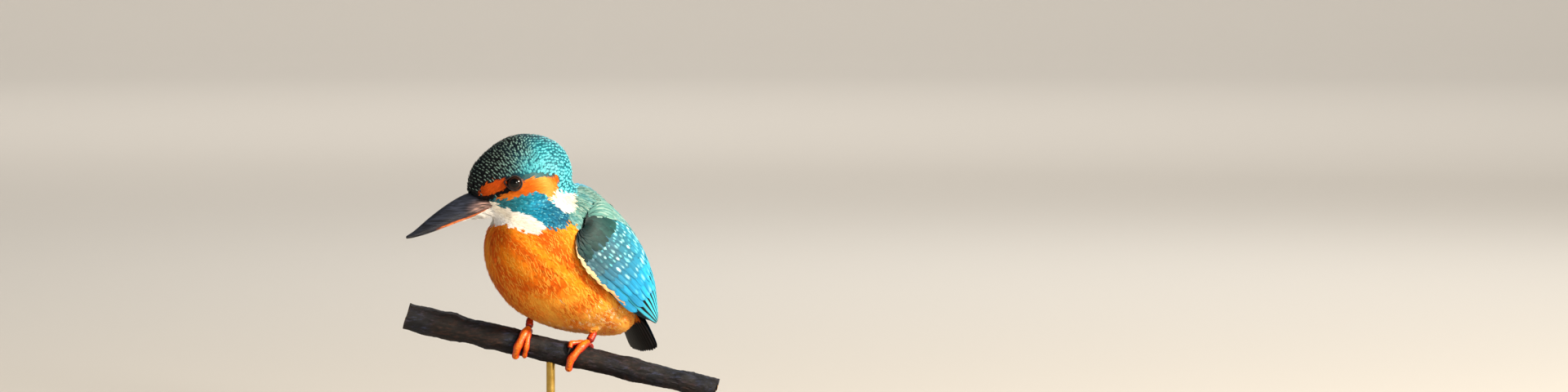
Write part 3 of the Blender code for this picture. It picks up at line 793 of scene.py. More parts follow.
# Each kind: its markings, spacing, length near the bill and at the nape, half width, lift at the
# tip, how far its brightness varies, shape, finish and slot
HEAD_COAT = (
    ("crown", (CROWN,), 1.25, 2.5, 3.6, 0.88, 0.6, 0.12, crown_shape, glossy, "crown_feathers"),
    ("cheek", (MALAR,), 0.78, 2.0, 3.4, 0.5, 0.6, 0.3, crown_shape, glossy, "crown_feathers"),
    ("face", (LORE, MASK, EAR, BROW), 0.55, 1.7, 4.6, 0.34, 0.5, 0.12, face_shape, soft,
     "crown_feathers"),
    ("throat", (THROAT, PATCH), 0.62, 2.2, 4.2, 0.42, 0.75, 0.12, face_shape, soft,
     "neck_feathers"),
)
for name, chosen, spacing, least, most, spread, high, vary, shape, finish, slot in HEAD_COAT:
    roots, ways, marks = scattered(chosen, HEAD_TRIES, spacing)
    if name == "crown":
        rows, faced = ringed(spacing)
        apart = np.min(far(roots[:, None] - rows[None]), axis=1) > 0.9 * spacing
        roots, ways = np.concatenate([rows, roots[apart]]), np.concatenate([faced, ways[apart]])
        marks = marking_of(roots, ways)
    mine = np.isin(marks, chosen)
    roots, ways, marks = roots[mine], ways[mine], marks[mine]
    lie = lie_of(roots, ways)
    lie = unit(lie + np.cross(ways, lie) * rng.normal(0.0, 0.09, (len(roots), 1)))
    lengths = least + (most - least) * smooth(far(roots - bill_base), 4.0, 34.0)
    # The share of its length that each feather keeps so as to stay off the eye
    free = np.ones(len(roots))
    for share in (1.0, 0.85, 0.7, 0.55, 0.4, 0.25, 0.1, 0.0):
        at = roots + lie * (lengths * share)[:, None]
        near = np.min([far(at - eye) for eye in EYES], axis=0)
        free = np.where(near < EYE_RADIUS + 0.05, share, free)
    kept = free > 0.3
    roots, ways, marks, lie = roots[kept], ways[kept], marks[kept], lie[kept]
    lengths = (lengths * free)[kept] * rng.uniform(0.88, 1.15, kept.sum())
    count = len(roots)
    line, ups = laid(SKIN, roots, lie, lengths)
    points, x, y, uneven, up = grown(
        shape, line, ups, spread * rng.uniform(0.9, 1.15, count),
        (-0.1, high * rng.uniform(0.75, 1.2, count)), fray=0.5,
    )
    if name == "throat":
        # The throat is fluffed out flat at its sides, so it faces sideways
        local = into(HEAD, roots)
        fluff = (1.6 * np.sign(local[:, 1]) * (1 - smooth(local[:, 0], -14.0, 2.0)))[:, None, None]
        up = unit(up + fluff * HEAD[:3, 1])
    base = colour_of(roots + lie * lengths[:, None] * 0.6, marks)[:, None, :]
    base = base * (1.0 + rng.uniform(-1.0, 1.0, (count, 1, 1)) * vary)
    tints = base * (0.88 + 0.15 * y + 0.28 * (uneven - 0.5))[..., None]
    if name == "crown":
        rear = rear_of(roots)
        bright = tone(("#9dbdb2", "#8fcac6", "#5fc8d4", "#63d0de"), rear)[:, None, :]
        # Painted shade: the bars are dimmer towards the forehead, which is turned away from the
        # light.
        strong = (0.66 + 0.34 * rear) * rng.uniform(0.45, 1.1, count)
        reach = np.abs(y - (0.865 - 0.02 * rear)[:, None])
        tall = (0.055 + 0.045 * rear)[:, None]
        wide = (0.66 + 0.08 * rear)[:, None]
        bar = (1 - smooth(reach, tall, tall + 0.05)) * (1 - smooth(np.abs(x), wide, wide + 0.25))
    else:
        bright = linear("#6cc4d6")
        strong = (name == "cheek") * rng.uniform(0.0, 0.9, count) * (rng.random(count) < 0.5)
        bar = smooth(y, 0.7, 0.8) * (1 - smooth(np.abs(x), 0.4, 0.8))
    tints = blend(tints, bright, (bar * strong[:, None])[..., None].clip(0, 1))
    coat("plumage_" + name, shape, points, up, tints, head_bake(roots), finish, slot, soften=0.6)


# Body plumage. Broad down beneath and long, soft, overlapping feathers over it: orange on breast,
# belly and thighs with pale wisps low down, grey-green on the mantle, blue down the back's middle.
BODY_TRIES = 52000
BODY_MIDDLE = (18.0, 94.0)
WINGS = []
for name in ("wing_left", "wing_right"):
    bm = bmesh.new()
    merged_copy(bm, name, 0.0)
    WINGS.append(BVHTree.FromBMesh(bm))
    bm.free()


def body_bake(points):
    """Where body feathers' patches lie: the angle round the body's middle line, and the way down
    the spine, from 18 above the nape to 102 below it."""
    local = into(BODY, points)
    down = (down_spine(local) + 18.0) / 120.0
    back, high = local[:, 0] - BODY_MIDDLE[0], local[:, 2] - BODY_MIDDLE[1]
    side = back * SPINE_DOWN + high * SPINE_BACK
    return side_by_side(0.5 + np.arctan2(local[:, 1], side) / (2 * pi), np.clip(down, 0, 1))


roots, ways, marks = scattered((MANTLE, BREAST), BODY_TRIES, 0.84, more_below=0.38)
# None grows where a wing lies close over the skin
near_wing = np.array([min(w.find_nearest(Vector(p))[3] for w in WINGS) for p in roots])
free = near_wing > 0.6 + 1.6 * smooth(roots[:, 2], 112.0, 116.0)
roots, ways, marks = roots[free], ways[free], marks[free]
lie = lie_of(roots, ways)
body = into(BODY, roots)
size = 1.0 + 0.6 * smooth(-body[:, 2], -116.0, -84.0)
lengths = 4.8 * size * rng.uniform(0.8, 1.25, len(roots))
lie = unit(lie + np.cross(ways, lie) * rng.normal(0.0, 0.12, (len(roots), 1)))
root_tints = colour_of(roots + lie * lengths[:, None] * 0.7, marks)

down_shape = feather_shape(4, 4, small_outline, split=0.99)
plume_shape = feather_shape(6, 5, small_outline, split=0.4, taper=0.75)
mantle_shape = feather_shape(6, 5, small_outline, split=0.65, taper=0.6)
breast, mantle, left = marks == BREAST, marks == MANTLE, body[:, 1] > 0.0
for name, mine, shape, slot in (
    ("down_breast", breast, down_shape, "belly_feathers"),
    ("down_mantle", mantle, down_shape, "neck_feathers"),
    ("plumage_breast_left", breast & left, plume_shape, "belly_feathers"),
    ("plumage_breast_right", breast & ~left, plume_shape, "belly_feathers"),
    ("plumage_mantle", mantle, mantle_shape, "neck_feathers"),
):
    count = mine.sum()
    wide, high = (1.3, 0.62) if shape is down_shape else (0.88, 0.98)
    line, ups = laid(SKIN, roots[mine], lie[mine], lengths[mine] * (0.55 + 0.45 * high))
    points, x, y, uneven, up = grown(
        shape, line, ups, wide * size[mine] * rng.uniform(0.85, 1.2, count),
        (-0.1, high * BODY_DEPTH * rng.uniform(0.75, 1.05, count)), fray=0.5, curl=0.05,
    )
    base = root_tints[mine][:, None, :] * rng.uniform(0.92, 1.08, (count, 1, 1))
    tints = base * (0.86 + 0.18 * y + 0.3 * (uneven - 0.5))[..., None]
    under = smooth(-body[mine, 2], -88.0, -72.0)
    if name.endswith("mantle"):
        share = on_spine(roots[mine])[:, None, None]
        light = blend(linear("#a3bfb4"), linear("#58cbf0"), share)
        odds = 0.28 * np.ones(count)
    else:
        # Painted highlights: on the breast the golden streaks, laid on barbs at random, stand in
        # for glints of light on silky barbs.
        light, odds = linear("#ffc24a"), 0.16 + 0.1 * under
        place = into(BODY, roots[mine])
        band = np.exp(-(((place[:, 0] - 10.0) / 13.0) ** 2) - ((place[:, 2] - 68.0) / 6.5) ** 2)
        wisp = rng.random(count) < 0.6 * band * (shape is plume_shape)
        pale = (wisp[:, None] * (uneven > 0.5) * smooth(y, 0.1, 0.5) * 0.85)[..., None]
        tints = blend(tints, linear("#fde6ae"), pale)
    streak = (uneven < odds[:, None]) * smooth(y, 0.25, 0.6) * 0.6
    tints = blend(tints, light, (shape is not down_shape) * streak[..., None])
    coat(name, shape, points, up, tints, body_bake(roots[mine]), soft, slot, soften=0.8)


# Wings. Folded flight feathers under rows of coverts that overlap like tiles: small dark green ones
# at the bend, their first rows painted darker still as shade under the mantle's edge, then rows
# with a bright spot by each tip, long blue ones, then the quills.

# The folded left wing, from the bend to the tip: lower edge and upper edge as (back, left,
# height), how far its middle stands out from the line between them, and its thickness
WING_STATIONS = (
    ((-6.0, 25.0, 106.0), (1.0, 22.0, 113.5), 1.5, 3.0),
    ((-8.5, 28.0, 97.0), (13.0, 18.5, 119.5), 5.5, 4.2),
    ((-3.0, 30.0, 87.5), (25.5, 14.0, 114.0), 8.6, 4.8),
    ((9.5, 29.5, 78.5), (37.0, 10.0, 103.0), 9.6, 4.6),
    ((28.0, 24.0, 68.5), (47.5, 7.0, 90.0), 6.8, 3.2),
    ((46.0, 15.0, 63.5), (54.5, 4.5, 77.5), 3.0, 2.0),
    ((56.5, 8.0, 62.5), (58.5, 5.0, 67.0), 0.4, 1.1),
)
WING_CORE_DEPTH = 0.45


def along(table, t):
    """The row of the table at t from 0 to 1, on a smooth curve through its rows."""
    last = len(table) - 1
    at = min(max(t, 0.0), 1.0) * last
    i = min(int(at), last - 1)
    f = at - i
    rows = [table[min(max(k, 0), last)] for k in (i - 1, i, i + 1, i + 2)]
    return [
        b + 0.5 * f * (c - a + f * (2 * a - 5 * b + 4 * c - d + f * (3 * (b - c) + d - a)))
        for a, b, c, d in zip(*rows)
    ]


def blade_point(table, side, t, across, under=False):
    """A point on a blade's outer face, or on its inner one if under is set, and the way it faces:
    t runs to the tip, across from the lower edge at -1 to the upper edge at 1."""
    here, before, after = (along(table, t + step) for step in (0.0, -0.01, 0.01))
    low, high = (Vector((r[0], r[1] * side, r[2])) for r in (here[0:3], here[3:6]))
    back, front = (
        Vector((r[0] + r[3], (r[1] + r[4]) * side, r[2] + r[5])) for r in (before, after)
    )
    bow, thick = here[6], here[7]
    over = high - low
    run = (front - back).normalized()
    out = over.cross(run).normalized() * side
    normal = (out * over.length / 2.0 + over.normalized() * 2.0 * across * bow).normalized()
    edge = (1.0 - min(across * across, 0.98)) ** 0.3 * thick * 0.5
    if under:
        normal, edge = -normal, -edge
    place = (low + high) / 2.0 + over * across / 2.0 + out * (bow * (1 - across * across) + edge)
    return place, normal


def on_blade(table, side, starts, ends, steps=5, under=False):
    """Lines over a blade between (t, across) starts and ends, with the ways its face looks."""
    line, ups = np.zeros((2, len(starts), steps + 1, 3))
    for i, (start, end) in enumerate(zip(starts, ends)):
        for k in range(steps + 1):
            t, across = (a + (b - a) * k / steps for a, b in zip(start, end))
            line[i, k], ups[i, k] = blade_point(table, side, t, across, under)
    return out_of(BODY, line), ups @ BODY[:3, :3].T


def blade_bake(starts, high=0.45, low=0.5):
    """Where the patches of a blade's feathers lie: (t, across) at half this height, from low."""
    return starts * (0.9, high) + (0.05, low)


def cored(name, node, depth, code):
    """The solid under a wing's or tail's feathers, drawn in by depth and evenly coloured."""
    core = bmesh.new()
    merged_copy(core, node, -depth)
    piece = done(name, core, hide, "wing_feathers", node)
    painted(piece, linear(code))


def quill_outline(y):
    """Half width of a long flight feather: even, then drawn in to a rounded tip."""
    return min(1.0, 0.55 + y * 1.2) * sqrt(max(0.0, 1.0 - max(0.0, (y - 0.82) / 0.19) ** 2))


WING = [(*low, *high, bow, thick) for low, high, bow, thick in WING_STATIONS]
QUILLS = 13
EDGE_FEATHERS = 44
# Each row of coverts: where its roots and its tips lie along the wing, how many lie across it,
# their half width and their pattern
COVERT_ROWS = (
    *((0.034 * i, 0.10 + 0.034 * i, 15 + i, 1.35, "green") for i in range(6)),
    (0.17, 0.30, 21, 1.45, "spots"),
    (0.21, 0.355, 21, 1.45, "spots"),
    (0.255, 0.41, 20, 1.55, "spots"),
    (0.30, 0.47, 19, 1.7, "spots"),
    (0.36, 0.545, 17, 1.9, "spots"),
    (0.42, 0.62, 15, 2.1, "blue"),
    (0.48, 0.695, 12, 2.4, "blue"),
)
covert_shape = feather_shape(6, 10, small_outline, split=0.86, dense=0.8)
quill_shape = feather_shape(10, 14, quill_outline, split=0.95)


def covert_tints(pattern, starts, ends, x, y, uneven):
    """The colours of one row of wing coverts."""
    t, across = (starts[:, 0] + ends[:, 0]) / 2.0, starts[:, 1]
    count = len(starts)
    back = smooth(across, -0.9, 0.9)
    if pattern == "green":
        lighter = 0.25 + 0.35 * back + 0.2 * rng.random(count)
        base = tone(("#081d20", "#143e3e", "#2a5d5a"), lighter)
        # Painted shade: the rows nearest the bend are darkened, as they lie in shadow under the
        # mantle's edge.
        base = base * (0.35 + 0.65 * smooth(t, 0.04, 0.12))[:, None]
    elif pattern == "spots":
        bluer = 0.9 * back + smooth(t, 0.3, 0.5) * 0.2
        base = tone(("#2f5d6c", "#286a80", "#247b94", "#1f90a8"), bluer)
        slate = linear("#4a6272")
        base = base + (slate - base) * (0.5 * rng.random((count, 1)) * (1 - back)[:, None])
        blue = tone(("#2a7ea6", "#2391b4"), back)
        base = base + (blue - base) * smooth(t, 0.3, 0.46)[:, None]
    else:
        greener = back + 0.15 * rng.random(count)
        base = tone(("#1f83b4", "#1a93c6", "#1f9fc6", "#35b0c2"), greener)
    base = base * rng.uniform(0.85, 1.15, (count, 1))
    tints = base[:, None, :] * (0.75 + 0.3 * y + 0.3 * (uneven - 0.5))[..., None]
    edge = smooth(np.abs(x), 0.6, 0.95)[..., None] * 0.4
    tints = blend(tints, linear("#12303c"), edge)
    if pattern != "green":
        middle = (rng.uniform(0.78, 0.88, (count, 1)), rng.uniform(-0.25, 0.25, (count, 1)))
        large = rng.uniform(0.7, 1.25, (count, 1)) * (0.75 + 0.5 * back)[:, None]
        reach = ((y - middle[0]) / (0.085 * large)) ** 2 + ((x - middle[1]) / (0.4 * large)) ** 2
        strong = rng.uniform(0.25, 1.1, (count, 1)) * np.where(across > -0.7, 1.0, 0.2)[:, None]
        strong = strong * (0.35 if pattern == "blue" else 1.0)
        spot = ((1 - smooth(reach, 0.5, 1.2)) * strong)[..., None].clip(0, 1)
        light = tone(("#56cbe0", "#8eeaf2", "#c4f8f8"), rng.random(count))[:, None, :]
        tints = blend(tints, light, spot)
    return tints


for side, word in ((1.0, "left"), (-1.0, "right")):
    cored("wing_core_" + word, "wing_" + word, WING_CORE_DEPTH, "#14323c")
    made = []
    for first, last, number, width, pattern in COVERT_ROWS:
        spot = np.linspace(-0.93, 0.88, number) + rng.uniform(-0.025, 0.025, number)
        slip = rng.uniform(-0.012, 0.012, number) - 0.03 * np.abs(spot)
        starts = side_by_side(first + slip, spot)
        ends = side_by_side(last + slip, spot * 0.985)
        line, ups = on_blade(WING, side, starts, ends)
        points, x, y, uneven, up = grown(
            covert_shape, line, ups, width * rng.uniform(0.9, 1.1, number),
            (0.1, 0.75 + rng.uniform(-0.08, 0.08, number)), fray=0.4,
        )
        made.append((points, up, covert_tints(pattern, starts, ends, x, y, uneven), starts))
    points, up, tints, starts = (np.concatenate(parts) for parts in zip(*made))
    coat("wing_coverts_" + word, covert_shape, points, up, tints, blade_bake(starts), glossy,
         "wing_feathers", soften=0.4)

    # The front edge: small cream feathers that wrap the bend and run down to the quills.
    at = np.linspace(0.05, 0.54, EDGE_FEATHERS)
    starts = side_by_side(at, -0.985)
    ends = starts + side_by_side(0.06, rng.uniform(-0.01, 0.03, EDGE_FEATHERS))
    line, ups = on_blade(WING, side, starts, ends)
    points, x, y, uneven, up = grown(
        covert_shape, line, ups, 1.1 - 1.2 * (at - 0.05), (0.3, 0.8), fray=0.5
    )
    base = tone(("#f6d3a4", "#e9b078", "#7d5a44"), smooth(at, 0.1, 0.75))
    tints = base[:, None, :] * (0.8 + 0.2 * y + 0.3 * (uneven - 0.5))[..., None]
    coat("wing_edge_" + word, covert_shape, points, up, tints, blade_bake(starts, 0.02, 0.02), soft,
         "wing_feathers")

    # The quills: outer webs turquoise with a black rim, inner webs black; the upper ones are
    # shorter and lie on top.
    fan = np.linspace(0.0, 1.0, QUILLS)
    spot = 0.95 - 1.78 * fan
    starts = side_by_side(0.5 - 0.04 * fan, spot)
    ends = side_by_side(0.86 + 0.145 * np.sqrt(fan), spot * 0.97 - 0.03)
    line, ups = on_blade(WING, side, starts, ends, steps=8)
    stack = 0.30 + 0.5 * (1.0 - fan)
    points, x, y, uneven, up = grown(
        quill_shape, line, ups, 2.2 - 0.5 * fan, (stack, stack + 0.12), fray=0.1
    )
    lower = x * side
    web = smooth(lower, -0.15, 0.0) * (1 - smooth(lower, 0.62, 0.82)) * (1 - smooth(y, 0.9, 0.97))
    web = (web * np.where(fan < 0.9, 1.0, 0.7)[:, None])[..., None]
    turquoise = tone(("#1f92b8", "#33b4d4", "#4fd0e6"), y + 0.3 * (uneven - 0.5))
    tints = blend(linear("#06090d"), turquoise, web)
    coat("wing_quills_" + word, quill_shape, points, up, tints, blade_bake(starts), glossy,
         "wing_feathers", soften=0.3)

    # Scapulars: loose grey-green feathers that fall from the mantle over the wing's upper edge.
    made = []
    for i in range(11):
        number = 9
        spot = np.linspace(0.34 + 0.05 * i, 0.95, number) + rng.uniform(-0.03, 0.03, number)
        first = -0.02 + 0.046 * i + rng.uniform(-0.014, 0.014, number)
        starts = side_by_side(first, spot)
        line, ups = on_blade(WING, side, starts, starts + (0.17, -0.03))
        points, x, y, uneven, up = grown(
            mantle_shape, line, ups, 1.5 * rng.uniform(0.8, 1.2, number),
            (0.4, 1.1 + rng.uniform(-0.1, 0.15, number)), fray=0.6,
        )
        bluer = 0.08 * i + 0.25 * rng.random(number)
        base = tone(("#42706c", "#5d8f88", "#4a8a96", "#2f8fa8"), bluer)
        tints = base[:, None, :] * (0.8 + 0.25 * y + 0.4 * (uneven - 0.5))[..., None]
        streak = ((uneven < 0.22) * smooth(y, 0.2, 0.6) * 0.6)[..., None]
        made.append((points, up, blend(tints, linear("#a6c4bb"), streak), starts))
    points, up, tints, starts = (np.concatenate(parts) for parts in zip(*made))
    coat("wing_scapulars_" + word, mantle_shape, points, up, tints, blade_bake(starts, 0.4), soft,
         "neck_feathers")


# Tail. Twelve short stiff feathers, spread a little: blue-black above with blue edges, dull
# black beneath, their bases hidden by soft coverts, azure above and orange below.

# The tail from the rump to its end: (back, height, half width, how far its middle bows down,
# thickness). Its outer face as a blade looks down, so what lies above it has under set.
TAIL_STATIONS = (
    (41.0, 74.5, 5.0, 0.8, 5.0),
    (46.8, 67.0, 6.8, 1.0, 4.0),
    (51.0, 60.6, 8.4, 1.2, 2.6),
    (54.2, 54.6, 9.2, 1.2, 1.8),
    (57.0, 49.2, 9.4, 1.0, 1.3),
)
TAIL = [(s, -w, z, s, w, z, bow, thick) for s, z, w, bow, thick in TAIL_STATIONS]
TAIL_FEATHERS = 12
TAIL_COVERTS = 110
cored("tail_core", "tail", 0.35, "#0b0d10")
for name, under, codes in (
    ("tail_feathers_below", False, ("#060607", "#454246")),
    ("tail_feathers_above", True, ("#060b12", "#175a86")),
):
    spot = np.linspace(-0.88, 0.88, TAIL_FEATHERS)
    starts = side_by_side(0.1, spot * 0.9)
    ends = side_by_side(0.99 - 0.07 * np.abs(spot) ** 2 + 0.012 * np.cos(9 * spot), spot)
    line, ups = on_blade(TAIL, 1.0, starts, ends, steps=6, under=under)
    stack = 0.12 + 0.28 * (1.0 - np.abs(spot))
    points, x, y, uneven, up = grown(
        quill_shape, line, ups, np.full(TAIL_FEATHERS, 1.7), (stack, stack), fray=0.08
    )
    rim = smooth(np.abs(x), 0.6, 0.95)[..., None] * 0.7
    dark, edge = (linear(code) for code in codes)
    tints = blend(dark, edge, rim) * (0.8 + 0.4 * y)[..., None]
    coat(name, quill_shape, points, up, tints, blade_bake(starts), glossy, "tail_feathers",
         soften=0.3)
for name, under, codes, reach in (
    ("tail_coverts_below", False, ("#e06a08", "#f9a02a"), 0.42),
    ("tail_coverts_above", True, ("#1a8fd0", "#49c4ee"), 0.62),
):
    count = TAIL_COVERTS
    starts = side_by_side(rng.uniform(0.0, reach - 0.3, count), rng.uniform(-0.95, 0.95, count))
    run = side_by_side(rng.uniform(0.22, 0.34, count), rng.uniform(-0.06, 0.06, count))
    line, ups = on_blade(TAIL, 1.0, starts, starts + run, under=under)
    points, x, y, uneven, up = grown(
        plume_shape, line, ups, rng.uniform(0.9, 1.4, count), (0.3, rng.uniform(0.7, 1.2, count)),
        fray=0.6,
    )
    tints = tone(codes, uneven) * (0.8 + 0.2 * y)[..., None]
    coat(name, plume_shape, points, up, tints, blade_bake(starts), soft, "tail_feathers")


# Eyes. Glass eyes set deep in the head, dark brown round a black pupil, with a polished front; a
# thin dark lid of bare skin rings each and runs out to a point in front.

# Glass: hard and wet looking, polished by hand, so that its highlight is bright and rounded.
glass, tree, shader = finish_of("eye_glass", Roughness=0.16, IOR=1.45, Specular_IOR_Level=0.35)
tint = add(tree, "Attribute", attribute_name="tint")
place = add(tree, "TexCoord", out="Object")
streaks = add(tree, "TexNoise", {"Vector": place, "Scale": 1600.0, "Detail": 2.0})
shade = add(tree, "MapRange", {"Value": streaks, "To Min": 0.7, "To Max": 1.3})
colour = add(tree, "Mix", {"Factor": 1.0, 6: tint, 7: shade}, out=2, **MULTIPLY)
feed(shader, Base_Color=colour)

# Bare eyelid: dry black-brown skin, finely wrinkled round the eye.
lid_skin, tree, shader = finish_of("eyelid_skin", Roughness=0.5)
place = add(tree, "TexCoord", out="Object")
wrinkle = add(tree, "TexNoise", {"Vector": place, "Scale": 2600.0, "Detail": 3.0})
colour = add(tree, "ValToRGB", {"Fac": wrinkle}, ((0.35, "#090606"), (0.7, "#35241f")))
relief = add(tree, "Bump", {"Height": wrinkle, "Strength": 0.5, "Distance": 0.0002})
feed(shader, Base_Color=colour, Normal=relief)

# The way the left eye looks, how far round it the pupil and the iris reach, the lid's radius and
# thickness, and how far out from the eye's middle it lies
EYE_LOOKS = (-0.22, 0.97, 0.06)
PUPIL = radians(31.0)
IRIS = radians(50.0)
LID_RING = 3.3
LID_THICK = 0.4
LID_REACH = 2.1
for side, word in ((1.0, "left"), (-1.0, "right")):
    seat = Vector(out_of(HEAD, (EYE_SEAT[0], EYE_SEAT[1] * side, EYE_SEAT[2])))
    looks = Vector(HEAD[:3, :3] @ (EYE_LOOKS[0], EYE_LOOKS[1] * side, EYE_LOOKS[2])).normalized()
    turn = looks.to_track_quat("Z", "Y").to_matrix().to_4x4()
    bm = bmesh.new()
    bmesh.ops.create_uvsphere(bm, u_segments=48, v_segments=40, radius=EYE_RADIUS)
    bmesh.ops.transform(bm, matrix=Matrix.Translation(seat) @ turn, verts=bm.verts)
    piece = done("eyeball_" + word, bm, glass, "eye_gloss", "eye_" + word)
    places = np.array([v.co for v in piece.data.vertices]) / MM - np.array(seat)
    polar = np.arccos(np.clip(unit(places) @ np.array(looks), -1.0, 1.0))
    ring = smooth(polar, PUPIL, PUPIL + 0.06) * (1 - smooth(polar, IRIS - 0.12, IRIS))
    painted(piece, linear("#010101") + ring[:, None] * linear("#2a1408"))

    bm = bmesh.new()
    bmesh.ops.create_circle(
        bm, cap_ends=False, segments=12, radius=LID_THICK,
        matrix=Matrix.Translation((LID_RING, 0.0, 0.0)) @ Matrix.Rotation(pi / 2, 4, "X"),
    )
    bmesh.ops.spin(
        bm, geom=bm.verts[:] + bm.edges[:], cent=(0, 0, 0), axis=(0, 0, 1), angle=2 * pi, steps=56,
        use_merge=True,
    )
    ahead = turn.to_3x3().inverted() @ Vector(HEAD[:3, :3] @ (-1.0, 0.0, 0.12))
    ahead.z = 0.0
    ahead.normalize()
    for vert in bm.verts:
        flat = Vector((vert.co.x, vert.co.y, 0.0))
        toward = max(0.0, flat.normalized().dot(ahead))
        vert.co += ahead * 1.5 * toward**9 - Vector((0, 0, 1.0)) * 0.9 * toward**7
        vert.co += flat.normalized() * 0.05 * sin(22.0 * atan2(flat.y, flat.x))
    bmesh.ops.transform(
        bm, matrix=Matrix.Translation(seat + looks * LID_REACH) @ turn, verts=bm.verts
    )
    done("eyelid_" + word, bm, lid_skin, "eye_gloss")


# Bill. Two mandibles of slate-black horn, deep at the base and drawn to a point, streaked along
# their length; bare flesh shows grey-pink at the gape, streaked with painted highlights along the
# mandibles' edges, and orange under the lower one's base.

# Sections from the tip to the gape, as places of the head: (back, height of the culmen, of the
# line between the mandibles and of the underside, half width)
BILL_STATIONS = (
    (-55.8, 105.1, 104.5, 103.9, 0.5),
    (-52.0, 107.5, 105.6, 104.4, 1.15),
    (-45.0, 113.4, 108.5, 106.3, 2.3),
    (-38.0, 118.6, 112.0, 108.8, 3.5),
    (-31.0, 122.8, 115.4, 111.4, 4.6),
    (-25.5, 124.8, 117.6, 113.4, 5.8),
    (-20.0, 123.8, 119.4, 115.8, 7.0),
    (-15.5, 121.8, 120.2, 117.8, 7.6),
)
# The nostril: (back, height, half length, half height)
NOSTRIL = (-25.0, 120.9, 2.1, 0.42)
CHIN_FEATHERS = 1800
# Horn: smooth and hard, worn to a soft shine, with fine lengthwise streaks.
horn, tree, shader = finish_of("bill_horn", Roughness=0.34, Coat_Weight=0.15, Coat_Roughness=0.3)
tint = add(tree, "Attribute", attribute_name="tint")
place = add(tree, "TexCoord", out="Object")
turn = (0.0, radians(-32.0), -HEAD_YAW)
drawn = add(tree, "Mapping", {"Vector": place, "Rotation": turn, "Scale": (0.09, 1.0, 1.0)})
streak = add(tree, "TexNoise", {"Vector": drawn, "Scale": 1500.0, "Detail": 4.0})
shade = add(
    tree, "MapRange",
    {"Value": streak, "From Min": 0.35, "From Max": 0.65, "To Min": 0.3, "To Max": 2.1},
)
colour = add(tree, "Mix", {"Factor": 1.0, 6: tint, 7: shade}, out=2, **MULTIPLY)
relief = add(tree, "Bump", {"Height": streak, "Strength": 0.35, "Distance": 0.0003})
feed(shader, Base_Color=colour, Normal=relief)


def rounded(point, around, rows):
    """A closed mesh whose points are point(t, angle): t runs from one pole to the other."""
    bm = bmesh.new()
    bmesh.ops.create_uvsphere(bm, u_segments=around, v_segments=rows, radius=1.0)
    for vert in bm.verts:
        x, y, z = vert.co
        vert.co = point(acos(max(-1.0, min(1.0, z))) / pi, atan2(y, x))
    return bm


def mandible(upper):
    """The points of one mandible: a roof over the line of the gape, or a keel below it."""

    def point(t, angle):
        t = t**1.15
        back, top, middle, bottom, width = along(BILL_STATIONS, t)
        near = min((1.0 - t) / 0.08, t / 0.03)
        full = sqrt(max(0.0, 1.0 - (1.0 - min(near, 1.0)) ** 2))
        c, h = cos(angle), sin(angle)
        roof = abs(h) ** 1.25 * (top - middle) if upper else -0.05
        keel = abs(h) ** 0.9 * (middle - bottom) if not upper else -0.05
        height = middle + (roof if h > 0 else -keel) * full
        hole = ((back - NOSTRIL[0]) / NOSTRIL[2]) ** 2 + ((height - NOSTRIL[1]) / NOSTRIL[3]) ** 2
        dent = 0.45 * np.exp(-hole) if upper else 0.0
        groove = 0.12 * np.exp(-(((height - middle) / (top - middle + 0.01) - 0.45) / 0.16) ** 2)
        wide = width * c * full - np.sign(c) * (dent + groove * full)
        return Vector(out_of(HEAD, (back, wide, height)))

    return point


for upper, name in ((True, "upper"), (False, "lower")):
    piece = done(
        "bill_horn_" + name, rounded(mandible(upper), 48, 90), horn, "bill_horn", "bill_" + name
    )
    local = into(HEAD, np.array([v.co for v in piece.data.vertices]) / MM)
    slate = tone(("#12151d", "#1a1e29", "#232733"), smooth(local[:, 0], -56.0, -28.0))
    backs, _, middle, keel, _ = np.array([along(BILL_STATIONS, i / 40.0) for i in range(41)]).T
    over_line = local[:, 2] - np.interp(local[:, 0], backs, middle)
    # The grey-pink streaks at the gape are partly bare flesh, partly painted highlights along the
    # mandibles' edges.
    gape_flesh_and_highlight = np.exp(-(((over_line + 0.2) / 2.2) ** 2)) * smooth(local[:, 0], -30.0, -21.0)
    gape_flesh_and_highlight *= 0.62 + 0.38 * np.sin(7.0 * over_line + 0.5 * local[:, 0])
    tints = blend(slate, linear("#a98579"), gape_flesh_and_highlight[:, None])
    if not upper:
        over_keel = local[:, 2] - np.interp(local[:, 0], backs, keel)
        strip = (1 - smooth(over_keel, 0.9, 1.5)) * smooth(local[:, 0], -43.0, -37.0)
        tints = blend(tints, linear("#e8772a"), strip[:, None])
    painted(piece, tints)

# The chin's feathers run forward as a white wedge under the base of the lower mandible.
bill_mesh = bmesh.new()
merged_copy(bill_mesh, "bill_lower", 0.1)
BILL_UNDER = BVHTree.FromBMesh(bill_mesh)
bill_mesh.free()
back = -16.0 - 14.5 * rng.random(CHIN_FEATHERS) ** 1.1
half = 6.0 * smooth(back, -30.0, -16.0) + 0.4
below = out_of(HEAD, side_by_side(back, half * rng.uniform(-1.0, 1.0, CHIN_FEATHERS), 108.0))
hits = [BILL_UNDER.ray_cast(Vector(place), Vector((0.0, 0.0, 1.0)))[0] for place in below]
roots = np.array([hit for hit in hits if hit is not None])
lie = out_of(HEAD, (1.0, 0.0, -0.05)) - out_of(HEAD, (0.0, 0.0, 0.0))
lie = unit(lie + rng.normal(0.0, 0.07, (len(roots), 3)))
line, ups = laid(BILL_UNDER, roots, lie, rng.uniform(2.4, 4.0, len(roots)))
local = into(HEAD, roots)
hang = np.clip((local[:, 0] + 30.0) * 0.6, 0.5, 4.8) * rng.uniform(0.2, 1.0, len(roots))
points, x, y, uneven, up = grown(
    face_shape, line, ups, rng.uniform(0.25, 0.4, len(roots)), (0.05, hang), fray=0.5
)
up = unit(up + 1.8 * (np.sign(local[:, 1])[:, None] * HEAD[:3, 1])[:, None, :])
